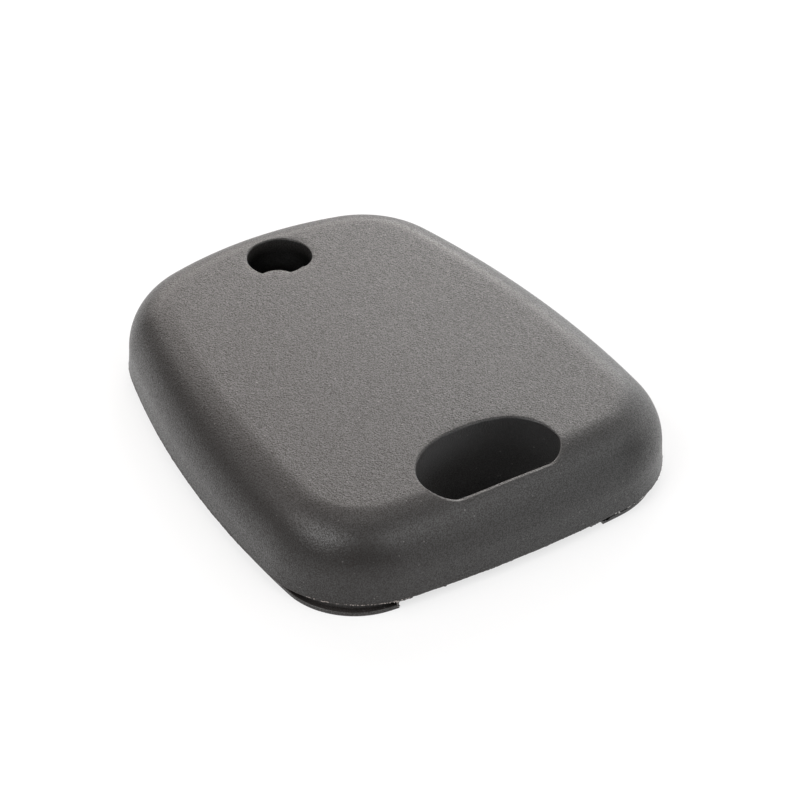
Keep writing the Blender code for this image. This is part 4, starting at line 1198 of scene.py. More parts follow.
def board_routes():
    """Routes of the copper lines on the board's upper side, as lists of places."""
    chip_low, chip_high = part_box("controller_chip")
    routes = []
    for number, x in enumerate(chip_lead_places()):
        bus = chip_low.y - (0.7 + 0.38 * (LEADS_A_SIDE - 1 - number)) * MM
        last = (6.4 - 0.9 * number) * MM
        drop = (0.5, 1.3)[number % 2] * MM
        routes.append([(x, chip_low.y), (x, bus), (last, bus), (last + drop, bus - drop)])
        rise = chip_high.y + (1.0 + 0.9 * number) * MM
        drift = (number - (LEADS_A_SIDE - 1) / 2) * 0.5 * MM
        routes.append([
            (x, chip_high.y), (x, rise), (x + drift, rise + abs(drift)),
            (x + drift, rise + abs(drift) + MM),
        ])
    for name in PASSIVES:
        low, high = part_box(name)
        y = (low.y + high.y) / 2
        reach = 1.3 * MM if name.startswith("capacitor") else 0.7 * MM
        routes.append([(high.x, y), (high.x + reach, y), (high.x + reach + 0.4 * MM, y - 0.4 * MM)])
    resonator_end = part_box("radio_resonator")[1].x
    for name in ("capacitor_1", "capacitor_2"):
        low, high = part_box(name)
        y = (low.y + high.y) / 2
        routes.append([(resonator_end - 0.3 * MM, y), (low.x, y)])
    clip_low, clip_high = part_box("battery_clip")
    routes.append([
        (clip_high.x - 0.5 * MM, clip_low.y), (clip_high.x - 0.5 * MM, -1.5 * MM),
        (clip_high.x + 0.8 * MM, -2.8 * MM), (clip_high.x + 0.8 * MM, -9 * MM),
    ])
    return routes


def aerial_route():
    """Route of the printed aerial along the board's edge, open beside the chip."""
    low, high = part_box("circuit_board")
    edge = case_outline(inner_inset(BOARD_TOP) + AERIAL_INSET)
    far_x, near_x = low.x + AERIAL_INSET, high.x - AERIAL_INSET
    upper = [(x, y) for x, y in edge if y > 0 and far_x < x < near_x]
    lower = [(x, -y) for x, y in reversed(upper)]
    return [
        (near_x, 2 * MM), (near_x, upper[0][1]), *upper, (far_x, upper[-1][1]),
        (far_x, lower[0][1]), *lower[:-3],
    ]


def board_vias(routes):
    """Where the copper lines pass through the board."""
    places = [route[-1] for route in routes]
    places += [(x * MM, y * MM) for x, y in ((9.6, -11.5), (10.6, -12.5), (-9.5, 16), (10.5, 14.5))]
    return places


def build_board_copper():
    """Bare pads and ring-shaped vias on both sides of the board."""
    bm = bmesh.new()
    low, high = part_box("circuit_board")
    skin = COPPER_SKIN
    for (x0, y0), (x1, y1) in board_pads():
        block(bm, (x0, y0, high.z - skin), (x1, y1, high.z + skin), 0.015 * MM)
    for name in SWITCH_BASES:
        for corners in switch_pads(name):
            outline = rectangle(*corners)
            stack(bm, [(outline, low.z + skin), (outline, low.z - skin)])
    for place in board_vias(board_routes()):
        ring = circle(VIA_RADIUS, place, 16)
        for face, way in ((high.z, skin), (low.z, -skin)):
            stack(bm, [
                (ring, face - way), (ring, face + way),
                (circle(0.17 * MM, place, 16), face + way),
                (circle(0.15 * MM, place, 16), face - way * 0.5),
            ])
    return new_piece("board_copper", bm)


def switch_pads(name):
    """Pads of one switch on the board's lower side, as low and high corners."""
    low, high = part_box(name)
    pads = []
    for x0, x1 in ((low.x - 0.95 * MM, low.x + 0.1 * MM), (high.x - 0.1 * MM, high.x + 0.95 * MM)):
        for y in (low.y + LEG_FROM_CORNER, high.y - LEG_FROM_CORNER):
            pads.append(((x0, y - 0.4 * MM), (x1, y + 0.4 * MM)))
    return pads


def build_board_traces():
    """Copper lines under the board's green mask, and the printed aerial round its edge."""
    bm = bmesh.new()
    low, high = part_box("circuit_board")
    rise = TRACE_RISE
    for route in board_routes():
        ribbon(bm, route, TRACE_WIDTH, high.z - rise, high.z + rise)
    ribbon(bm, aerial_route(), AERIAL_WIDTH, high.z - rise, high.z + rise)
    for name in SWITCH_BASES:
        for (x0, y0), (x1, y1) in switch_pads(name):
            x, y = (x0 + x1) / 2, (y0 + y1) / 2
            way = math.copysign(MM, y)
            route = [(x, y), (x, y + 4 * way), (x - 3 * MM, y + 7 * way)]
            ribbon(bm, route, 0.2 * MM, low.z - rise, low.z + rise)
    return new_piece("board_traces", bm)


def build_board_print():
    """White printed outlines round the parts on the board."""
    bm = bmesh.new()
    bottom, top = BOARD_TOP - 0.01 * MM, BOARD_TOP + 0.015 * MM
    for name in (*PASSIVES, "controller_chip", "radio_resonator", "transponder_capsule"):
        low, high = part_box(name)
        gap = 0.5 * MM if name in PASSIVES else 0.45 * MM
        inner = PRINT_WIDTH - gap
        rings = [
            ring_of(bm, rectangle(low, high, inset), height)
            for inset, height in ((-gap, bottom), (-gap, top), (inner, top), (inner, bottom))
        ]
        bridge(bm, [*rings, rings[0]])
    return new_piece("board_print", bm)


def build_chip():
    """Chip's moulded body: drafted sides, a dimple beside its first lead and a pin's mark."""
    low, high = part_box("controller_chip")
    inner_low, inner_high = (low.x, low.y + LEAD_REACH), (high.x, high.y - LEAD_REACH)
    parting = low.z + 0.72 * MM
    body = closed("chip_body", [
        (rectangle(inner_low, inner_high, 0.16 * MM), low.z + 0.05 * MM),
        (rectangle(inner_low, inner_high, 0.03 * MM), parting - 0.06 * MM),
        (rectangle(inner_low, inner_high), parting - 0.05 * MM),
        (rectangle(inner_low, inner_high), parting + 0.05 * MM),
        (rectangle(inner_low, inner_high, 0.03 * MM), parting + 0.06 * MM),
        (rectangle(inner_low, inner_high, 0.12 * MM), high.z - 0.05 * MM),
        (rectangle(inner_low, inner_high, 0.17 * MM), high.z),
    ])
    first = (low.x + 0.85 * MM, low.y + LEAD_REACH + 0.85 * MM)
    cut(body, round_bar("dimple", 0.38 * MM, high.z - 0.05 * MM, high.z + MM, first, 24))
    last = (high.x - 1.2 * MM, high.y - LEAD_REACH - 1.2 * MM)
    cut(body, round_bar("pin_mark", 0.5 * MM, high.z - 0.02 * MM, high.z + MM, last, 24))
    return body


def build_chip_leads():
    """Sixteen gull-wing leads of the chip."""
    low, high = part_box("controller_chip")
    bm = bmesh.new()
    upper = ((-0.15, 0.80), (0.28, 0.80), (0.38, 0.74), (0.48, 0.22), (0.56, 0.15), (1.0, 0.15))
    lower = ((1.0, 0.0), (0.48, 0.0), (0.36, 0.09), (0.26, 0.60), (0.2, 0.65), (-0.15, 0.65))
    profile = [(across * MM, up * MM) for across, up in (*upper, *lower)]
    for x in chip_lead_places():
        for edge, way in ((low.y + LEAD_REACH, -1), (high.y - LEAD_REACH, 1)):
            extrude(
                bm, profile, x - LEAD_WIDTH / 2, x + LEAD_WIDTH / 2,
                lambda u, v, w, edge=edge, way=way: (w, edge + way * u, low.z + v),
            )
    return new_piece("chip_leads", bm)


def build_solder():
    """End caps of the resistors and capacitors, with the solder that runs up to them."""
    bm = bmesh.new()
    skin = 0.012 * MM
    for name in PASSIVES:
        low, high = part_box(name)
        rise = (high.z - low.z) * 0.62
        for x, way in ((low.x, 1), (high.x, -1)):
            x0, x1 = sorted((x - way * skin, x + way * 0.32 * MM))
            block(
                bm, (x0, low.y - skin, low.z - 0.02 * MM), (x1, high.y + skin, high.z + skin),
                0.04 * MM,
            )
            slope = ((0.02, 1), (-0.08, 0.55), (-0.17, 0.22), (-0.3, 0), (0.02, 0))
            profile = [(along * MM, BOARD_TOP + rise * share) for along, share in slope]
            extrude(
                bm, profile, low.y + 0.02 * MM, high.y - 0.02 * MM,
                lambda u, v, w, x=x, way=way: (x + way * u, w, v),
            )
    return new_piece("solder_ends", bm)


def build_resonator():
    """Ceramic base and drawn metal lid of the radio resonator."""
    low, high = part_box("radio_resonator")
    centre = middle_of(low, high)
    length, width = high.x - low.x, high.y - low.y

    def section(inset, height, radius=0.3):
        outline = rounded_rectangle(
            length - 2 * inset * MM, width - 2 * inset * MM, radius * MM, centre
        )
        return outline, height

    split = low.z + 0.45 * MM
    base = closed("resonator_base", [
        section(0.03, low.z), section(0, low.z + 0.03 * MM), section(0, split - 0.03 * MM),
        section(0.03, split),
    ])
    for x in (low.x + 1.6 * MM, high.x - 1.6 * MM):
        for y in (low.y, high.y):
            cut(base, round_bar("edge_hole", 0.22 * MM, low.z - MM, split + MM, (x, y), 16))
    sections = [
        section(0.06, split), section(0.06, split + 0.08 * MM), section(0.2, split + 0.12 * MM)
    ]
    for turn in quarter_turns(5):
        sections.append(section(
            0.2 + 0.3 * (1 - math.cos(turn)), high.z - 0.3 * MM * (1 - math.sin(turn)), 0.5
        ))
    return base, closed("resonator_lid", sections)


def build_crystal():
    """Crystal's can with its rolled rim, and its two wire leads bent down to the board."""
    low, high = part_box("crystal")
    y, z = (low.y + high.y) / 2, (low.z + high.z) / 2
    radius = (high.y - low.y) / 2
    body = radius - 0.07 * MM
    can = turned("crystal_can", [
        (radius - 0.05 * MM, low.x), (radius, low.x + 0.05 * MM), (radius, low.x + 0.3 * MM),
        (radius - 0.05 * MM, low.x + 0.36 * MM), (body, low.x + 0.4 * MM),
        *rounded_corner(body, high.x, 0.35 * MM),
    ])
    lay_along_x(can, y, z)
    bm = bmesh.new()
    radius = 0.1 * MM
    path = (
        (0.1, z), (-0.25, z), (-0.42, z - 0.1 * MM), (-0.5, z - 0.35 * MM),
        (-0.52, BOARD_TOP + 0.3 * MM), (-0.6, BOARD_TOP + 0.14 * MM), (-0.95, BOARD_TOP + radius),
    )
    for side in (-0.35 * MM, 0.35 * MM):
        wire(bm, [Vector((low.x + along * MM, y + side, up)) for along, up in path], radius)
    return can, new_piece("crystal_leads", bm)


def wire(bm, path, radius, steps=10):
    """Round wire along a path that stays in one upright plane."""
    rings = []
    side = Vector((0, 1, 0))
    for i, point in enumerate(path):
        along = (path[min(i + 1, len(path) - 1)] - path[max(i - 1, 0)]).normalized()
        up = along.cross(side).normalized()
        rings.append([
            bm.verts.new(point + side * radius * math.cos(a) + up * radius * math.sin(a))
            for a in (2 * math.pi * step / steps for step in range(steps))
        ])
    tube(bm, rings)


def build_capsule():
    """Glass transponder capsule: the tube, and in it the ferrite rod with its wound coil."""
    low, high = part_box("transponder_capsule")
    y, z = (low.y + high.y) / 2, (low.z + high.z) / 2
    radius = (high.y - low.y) / 2
    glass = turned("capsule_tube", capsule_profile(low.x, high.x, radius))
    lay_along_x(glass, y, z)
    shade(glass, GLASS_SMOOTH_BELOW)
    rod = turned("capsule_rod", [
        (0.40 * MM, low.x + 2.6 * MM), (0.46 * MM, low.x + 2.66 * MM),
        (0.46 * MM, high.x - 1.26 * MM), (0.40 * MM, high.x - 1.2 * MM),
    ])
    lay_along_x(rod, y, z)
    turns = []
    first, last = low.x + 3.2 * MM, high.x - 1.9 * MM
    count = COIL_TURNS * COIL_STEPS
    for step in range(count + 1):
        bulge = abs(math.sin(math.pi * step / COIL_STEPS))
        turns.append(((0.60 + 0.06 * bulge) * MM, first + (last - first) * step / count))
    coil = turned("capsule_coil", turns, steps=24)
    lay_along_x(coil, y, z)
    return glass, rod, coil


def capsule_profile(low, high, radius):
    """Outer profile of the capsule, round at both ends, where it keeps off the axis."""
    start = []
    for turn in quarter_turns(10):
        start.append((max(0.02 * MM, radius * math.sin(turn)), radius * (1 - math.cos(turn))))
    return [(around, low + along) for around, along in start] + [
        (around, high - along) for around, along in reversed(start)
    ]


def build_coin_cell():
    """Coin cell's can with a rounded shoulder and crimped mouth, and its cap with a sunk face."""
    low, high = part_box("coin_cell_can")
    place = middle_of(low, high)
    radius = (high.x - low.x) / 2
    wall = CELL_WALL
    can = turned("cell_can_detail", [
        (radius - wall, high.z - wall - 0.05 * MM), (radius - wall, low.z + 0.1 * MM),
        (radius - wall - 0.02 * MM, low.z + 0.02 * MM), (radius - wall + 0.05 * MM, low.z),
        (radius - 0.12 * MM, low.z), (radius - 0.03 * MM, low.z + 0.06 * MM),
        (radius, low.z + 0.16 * MM), *rounded_corner(radius, high.z, 0.36 * MM),
        (radius - 0.75 * MM, high.z), (radius - 0.85 * MM, high.z - 0.05 * MM),
        (0.1 * MM, high.z - 0.05 * MM),
    ], place, 72)
    cap_low, cap_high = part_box("coin_cell_cap")
    cap_radius = (cap_high.x - cap_low.x) / 2
    cap = turned("cell_cap_detail", [
        (0.1 * MM, cap_low.z + 0.06 * MM), (cap_radius - 2.0 * MM, cap_low.z + 0.06 * MM),
        (cap_radius - 1.9 * MM, cap_low.z), (cap_radius - 0.28 * MM, cap_low.z),
        (cap_radius - 0.08 * MM, cap_low.z + 0.08 * MM), (cap_radius, cap_low.z + 0.28 * MM),
        (cap_radius, cap_high.z), (cap_radius - wall, cap_high.z),
        (cap_radius - wall, cap_low.z + wall), (0.1 * MM, cap_low.z + wall + 0.06 * MM),
    ], place, 72)
    return can, cap


def build_switch_legs():
    """Bent legs that stand the two push switches on the board's lower side."""
    bm = bmesh.new()
    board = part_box("circuit_board")[0].z
    outer = (-0.1, -0.62), (0.16, -0.62), (0.24, -0.55), (0.30, -0.20), (0.38, -0.14), (0.8, -0.14)
    inner = (0.8, -0.02), (0.32, -0.02), (0.22, -0.10), (0.14, -0.46), (0.10, -0.50), (-0.1, -0.50)
    profile = [(across * MM, board + up * MM) for across, up in (*outer, *inner)]
    for name in SWITCH_BASES:
        low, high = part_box(name)
        for x, way in ((low.x, -1), (high.x, 1)):
            for y in (low.y + LEG_FROM_CORNER, high.y - LEG_FROM_CORNER):
                extrude(
                    bm, profile, y - 0.25 * MM, y + 0.25 * MM,
                    lambda u, v, w, x=x, way=way: (x + way * u, w, v),
                )
    return new_piece("switch_legs", bm)


# Finishes


class Value:
    """Socket of a finish that takes part in sums like a number."""

    def __init__(self, finish, socket):
        self.finish = finish
        self.socket = socket

    def math(self, operation, first, second=0.0):
        """Result of a sum on one or two numbers."""
        return self.finish.add("ShaderNodeMath", {"operation": operation}, {0: first, 1: second})

    def __add__(self, other):
        return self.math("ADD", self, other)

    def __sub__(self, other):
        return self.math("SUBTRACT", self, other)

    def __rsub__(self, other):
        return self.math("SUBTRACT", other, self)

    def __mul__(self, other):
        return self.math("MULTIPLY", self, other)

    def __truediv__(self, other):
        return self.math("DIVIDE", self, other)

    def __pow__(self, other):
        return self.math("POWER", self, other)

    __radd__ = __add__
    __rmul__ = __mul__

    def absolute(self):
        """The number without its sign."""
        return self.math("ABSOLUTE", self)

    def at_least(self, low):
        """The number, or low where it is less."""
        return self.math("MAXIMUM", self, low)

    def step(self, low, high, smooth=True):
        """0 below low, 1 above high, and a ramp between."""
        settings = {"interpolation_type": "SMOOTHSTEP" if smooth else "LINEAR"}
        return self.finish.add(
            "ShaderNodeMapRange", settings, {"Value": self, "From Min": low, "From Max": high}
        )


class Finish:
    """Material made of nodes that are added one by one round its main shader."""

    def __init__(self, name):
        self.material = bpy.data.materials.new(name)
        self.material.use_nodes = True
        self.tree = self.material.node_tree
        self.tree.nodes.clear()
        self.shader = self.tree.nodes.new("ShaderNodeBsdfPrincipled")
        output = self.tree.nodes.new("ShaderNodeOutputMaterial")
        self.tree.links.new(self.shader.outputs["BSDF"], output.inputs["Surface"])
        self.place = self.add("ShaderNodeTexCoord", output="Object")

    def set_sockets(self, node, sockets):
        """Sets a node's sockets to numbers and colours, or links them to values."""
        for name, value in sockets.items():
            if isinstance(value, Value):
                self.tree.links.new(value.socket, node.inputs[name])
            else:
                node.inputs[name].default_value = value

    def add(self, kind, settings=None, sockets=None, output=0):
        """Node of one kind, with its settings made first and then its sockets."""
        node = self.tree.nodes.new(kind)
        for name, value in (settings or {}).items():
            setattr(node, name, value)
        self.set_sockets(node, sockets or {})
        return Value(self, node.outputs[output])

    def surface(self, **sockets):
        """Sets the main shader's sockets, with spaces written as underscores."""
        self.set_sockets(self.shader, {k.replace("_", " "): v for k, v in sockets.items()})
        return self.material

    def noise(self, size, detail=2.0, where=None, roughness=0.5):
        """Soft random pattern whose marks are about one size across."""
        return self.add("ShaderNodeTexNoise", {}, {
            "Vector": where or self.place, "Scale": 1 / size, "Detail": detail,
            "Roughness": roughness,
        })

    def cells(self, size):
        """Distance from the middles of random cells of about one size."""
        sockets = {"Vector": self.place, "Scale": 1 / size}
        return self.add("ShaderNodeTexVoronoi", {}, sockets, "Distance")

    def tint(self, share, first, second):
        """Colour between two, by a share."""
        first, second = (c if isinstance(c, Value) else (*c, 1) for c in (first, second))
        return self.add("ShaderNodeMix", {"data_type": "RGBA"}, {0: share, 6: first, 7: second}, 2)

    def bump(self, height):
        """Normal of a surface whose height is given in millimetres."""
        return self.add("ShaderNodeBump", {}, {"Height": height, "Distance": MM, "Strength": 1.0})

    def stretched(self, factors):
        """The place with each axis scaled, so that patterns on it turn into lines."""
        return self.add("ShaderNodeMapping", {}, {"Vector": self.place, "Scale": factors})

    def axis(self, name):
        """One coordinate of the place, in metres."""
        return self.add("ShaderNodeSeparateXYZ", {}, {0: self.place}, name)


def scaled(colour, factors):
    """Colour times a factor, or times one factor each for its red, green and blue."""
    factors = factors if isinstance(factors, tuple) else (factors,) * 3
    return [part * factor for part, factor in zip(colour, factors)]


def under_roof(z, depths):
    """0 to 1 from the deeper to the shallower of two depths under the roof."""
    deeper, shallower = depths
    return z.step(CASE_TOP - deeper, CASE_TOP - shallower)


def past_eye_corners(finish):
    """How far a place lies beyond the ring eye's straight side and its corners' centres."""
    x = finish.axis("X") - (EYE_STRAIGHT_X - EYE_CORNER_RADIUS)
    y = finish.axis("Y").absolute() - (EYE_HALF_WIDTH - EYE_CORNER_RADIUS)
    return (x.at_least(0) ** 2 + y.at_least(0) ** 2) ** 0.5


def within_eye(finish):
    """Whether a place lies over the ring eye's opening or on its wall, from 0 to 1."""
    edge = EYE_CORNER_RADIUS
    by_corner = 1 - past_eye_corners(finish).step(edge + 0.03 * MM, edge + 0.09 * MM)
    along = (EYE_STRAIGHT_X - edge - finish.axis("X")).at_least(0) / (EYE_LENGTH - edge)
    y = finish.axis("Y")
    low, high = EYE_ARCH_POWERS
    power = y.step(-0.01 * MM, 0.01 * MM) * (high - low) + low
    in_arch = along ** power + (y.absolute() / EYE_HALF_WIDTH) ** power
    return by_corner * (1 - in_arch.step(1.05, 1.15))


def painted_eye_rim_highlight(finish):
    """Where a place lies on the painted highlight along the ring eye's straight side."""
    past = past_eye_corners(finish)
    edge = EYE_CORNER_RADIUS
    line = past.step(edge + 0.01 * MM, edge + 0.03 * MM)
    line *= 1 - past.step(edge + 0.12 * MM, edge + 0.17 * MM)
    return line * finish.axis("X").step(EYE_STRAIGHT_X - edge, EYE_STRAIGHT_X - edge / 2)


def painted_hole_shade(finish):
    """Painted shade deep in the screw well and the ring eye, from 0 at the rim to 1."""
    x, y, z = (finish.axis(name) for name in "XYZ")
    from_well = ((x - WELL_X) ** 2 + y * y) ** 0.5
    in_well = 1 - from_well.step(WELL_RADIUS + 0.1 * MM, WELL_RADIUS + 0.3 * MM)
    in_well *= 1 - under_roof(z, WELL_SHADE)
    in_eye = within_eye(finish) * (1 - under_roof(z, EYE_SHADE))
    return in_well + in_eye * EYE_SHADE_SHARE


def painted_eye_wall_light(finish):
    """Painted light on the upper part of the ring eye's wall, palest 3 mm from its middle towards
    -Y.
    """
    y, z = finish.axis("Y"), finish.axis("Z")
    upper = under_roof(z, EYE_WALL_FOOT)
    upper *= 1 - under_roof(z, EYE_WALL_HEAD)
    fading = (1 - y.step(-3 * MM, 5 * MM) * 0.65) * (y.step(-7 * MM, -3.5 * MM) * 0.6 + 0.4)
    return within_eye(finish) * upper * fading


def moulded_plastic(name, colour, paler=1.0, gloss=1.0):
    """Spark-textured moulded plastic: fine gloss grain, bright specks, smooth hole walls darkened
    by painted shade, a painted highlight on the eye's rim, painted light on its wall, a painted
    sheen at the far end and painted warm and cool light on the sides.
    """
    finish = Finish(name)
    grain = finish.noise(0.11 * MM, 1.0, roughness=0.6)
    drift = finish.noise(5 * MM, 3.0)
    speck = 1 - finish.cells(0.6 * MM).step(0.08, 0.15)
    lucky = finish.noise(0.9 * MM, 1.0).step(0.49, 0.60)
    deep = painted_hole_shade(finish)
    height = finish.noise(0.16 * MM, 1.0) * 0.018 + finish.cells(0.2 * MM) * 0.024
    height += finish.noise(0.45 * MM, 2.0) * 0.03
    tone = grain.step(0.4, 0.6, False)
    # Painted light: the plastic is warmer towards -Y and cooler towards +Y, as if lit differently
    # from either side
    across = finish.axis("Y").step(-20 * MM, 15 * MM)
    side_light_colours = [scaled(colour, side) for side in SIDE_LIGHT_TONES]
    pale, dark = (
        finish.tint(across, *(scaled(side, share * paler) for side in side_light_colours))
        for share in GRAIN_TONES
    )
    shown = finish.tint(tone, pale, dark)
    # Painted sheen: the pale grain turns paler towards the far end at -X
    far = 1 - finish.axis("X").step(-20 * MM, -4 * MM)
    for share, tint in (
        (far * tone * 0.25, scaled(colour, FAR_SHEEN_TONE)),
        (speck * lucky * 0.7, scaled(colour, SPECK_TONE)),
        # Painted highlight along the ring eye's straight rim
        (painted_eye_rim_highlight(finish) * 0.8, scaled(colour, RIM_HIGHLIGHT_TONE)),
        # Painted light on the ring eye's upper wall, less on the pale grain
        (painted_eye_wall_light(finish) * (tone * -0.6 + 1), scaled(colour, EYE_WALL_LIGHT_TONE)),
        # Painted shade deep in the holes
        (deep * 0.9, HOLE_SHADE_COLOUR),
    ):
        shown = finish.tint(share, shown, tint)
    return finish.surface(
        Base_Color=shown, Roughness=0.40 + drift * 0.05 - deep * 0.04,
        Coat_Weight=tone * (1 - deep * 0.7) * gloss, Coat_IOR=1.5, Coat_Roughness=0.42,
        Normal=finish.bump(height), IOR=1 + 0.33 * gloss,
    )


def button_finish(colour):
    """Button plastic with a fine etched grain, worn glossy where thumbs press."""
    finish = Finish("button plastic")
    grain = finish.noise(0.09 * MM, 2.0)
    pits = finish.cells(0.14 * MM)
    wear = finish.noise(3 * MM, 3.0).step(0.48, 0.62)
    shown = finish.tint(grain.step(0.3, 0.7), scaled(colour, 0.8), scaled(colour, 1.3))
    shown = finish.tint(wear * 0.35, shown, scaled(colour, 1.7))
    return finish.surface(
        Base_Color=shown, Roughness=0.52 - wear * 0.16 + grain * 0.08,
        Normal=finish.bump(grain * 0.006 + pits * 0.008),
    )


def rubber_finish():
    """Matt rubber with a dusty bloom and small moulded pits."""
    finish = Finish("gasket rubber")
    bloom = finish.noise(1.6 * MM, 4.0).step(0.45, 0.7)
    pits = finish.cells(0.25 * MM)
    shown = finish.tint(bloom * 0.5, (0.016, 0.016, 0.017), (0.055, 0.054, 0.052))
    return finish.surface(
        Base_Color=shown, Roughness=0.78 + bloom * 0.12, Normal=finish.bump(pits * 0.012)
    )


def board_finish(name, colour, gloss):
    """Solder mask over glass cloth, with the bare resin and cloth showing on the cut edges."""
    finish = Finish(name)
    low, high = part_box("circuit_board")
    x, y, z = (finish.axis(axis) for axis in "XYZ")
    weave = wave(x, 0.42 * MM) * wave(y, 0.42 * MM)
    cloud = finish.noise(1.2 * MM, 3.0)
    mask = finish.tint(weave * 0.35 + cloud * 0.4, scaled(colour, 0.75), scaled(colour, 1.35))
    edge = z.step(low.z + 0.03 * MM, low.z + 0.06 * MM)
    edge *= 1 - z.step(high.z - 0.06 * MM, high.z - 0.03 * MM)
    fibres = finish.noise(0.12 * MM, 2.0)
    bare = finish.tint(fibres, scaled(BOARD_EDGE_COLOUR, 0.7), BOARD_EDGE_COLOUR)
    return finish.surface(
        Base_Color=finish.tint(edge, mask, bare), Roughness=gloss + edge * 0.4 + cloud * 0.1,
        Normal=finish.bump(weave * 0.006 + cloud * 0.004),
    )


def wave(along, length):
    """Soft wave from 0 to 1 and back over one length."""
    return along.math("SINE", along * (2 * math.pi / length)) * 0.5 + 0.5


def brushed_finish(name, colour, gloss, stretch=(1, 14, 14), size=0.5, stain=0.25):
    """Metal with fine drawn lines along X, and a little tarnish."""
    finish = Finish(name)
    lines = finish.noise(size * MM, 3.0, finish.stretched(stretch))
    tarnish = finish.noise(1.3 * MM, 4.0).step(0.45, 0.7)
    shown = finish.tint(lines.step(0.3, 0.7), scaled(colour, 0.9), colour)
    shown = finish.tint(tarnish * stain, shown, scaled(colour, TARNISH_TONE))
    return finish.surface(
        Base_Color=shown, Roughness=gloss + lines * 0.12 + tarnish * 0.1, Metallic=1.0,
        Normal=finish.bump(lines * 0.003),
    )


def turned_finish(name, colour, gloss, centre, pitch=0.14, depth=0.002):
    """Metal turned or pressed round one upright axis, with fine rings and light scratches."""
    finish = Finish(name)
    x, y = finish.axis("X") - centre[0], finish.axis("Y") - centre[1]
    away = (x * x + y * y) ** 0.5
    unsteady = finish.noise(2 * MM, 2.0)
    rings = wave(away + unsteady * (0.2 * MM), pitch * MM)
    scratches = finish.noise(0.5 * MM, 2.0, finish.stretched((1, 9, 1))).step(0.62, 0.7)
    shown = finish.tint(rings * 0.5 + unsteady * 0.4, scaled(colour, 0.85), colour)
    return finish.surface(
        Base_Color=shown, Roughness=gloss + rings * 0.06 + scratches * 0.15 + unsteady * 0.08,
        Metallic=1.0, Normal=finish.bump(rings * depth + scratches * 0.002),
    )


def glass_finish():
    """Faintly green glass with small seeds."""
    finish = Finish("capsule glass")
    seeds = finish.cells(0.5 * MM).step(0.05, 0.12)
    return finish.surface(
        Base_Color=finish.tint(seeds, (0.55, 0.62, 0.56), (0.80, 0.88, 0.82)),
        Roughness=0.06 - seeds * 0.02, Transmission_Weight=0.92, IOR=1.5,
    )


def ceramic_finish(name, colour, gloss, spots):
    """Fired ceramic with a fine sandy grain and sparse darker spots."""
    finish = Finish(name)
    sand = finish.noise(0.07 * MM, 3.0)
    spot = 1 - finish.cells(0.35 * MM).step(0.10, 0.2)
    shown = finish.tint(sand.step(0.3, 0.7), scaled(colour, 0.85), scaled(colour, 1.15))
    shown = finish.tint(spot * 0.6, shown, spots)
    return finish.surface(
        Base_Color=shown, Roughness=gloss + sand * 0.15, Normal=finish.bump(sand * 0.01)
    )


def light_table(look):
    """Floor that glows softly from below, except under the ring eye, where the glow is off as
    painted shade.
    """
    finish = Finish("light table")
    drift = finish.noise(30 * MM, 2.0)
    return finish.surface(
        Base_Color=finish.tint(drift, scaled(look.floor, 0.99), look.floor),
        # No glow under the ring eye: painted shade on the floor there
        Emission_Color=finish.tint(within_eye(finish), (1, 1, 1), (0, 0, 0)),
        Emission_Strength=look.floor_glow, Roughness=0.9,
    )


def soft_plastic(name, colour):
    """Moulded soft plastic with a faint mottle."""
    finish = Finish(name)
    mottle = finish.noise(0.4 * MM, 3.0)
    shown = finish.tint(mottle, scaled(colour, 0.8), scaled(colour, 1.2))
    return finish.surface(
        Base_Color=shown, Roughness=0.45 + mottle * 0.15, Normal=finish.bump(mottle * 0.006)
    )


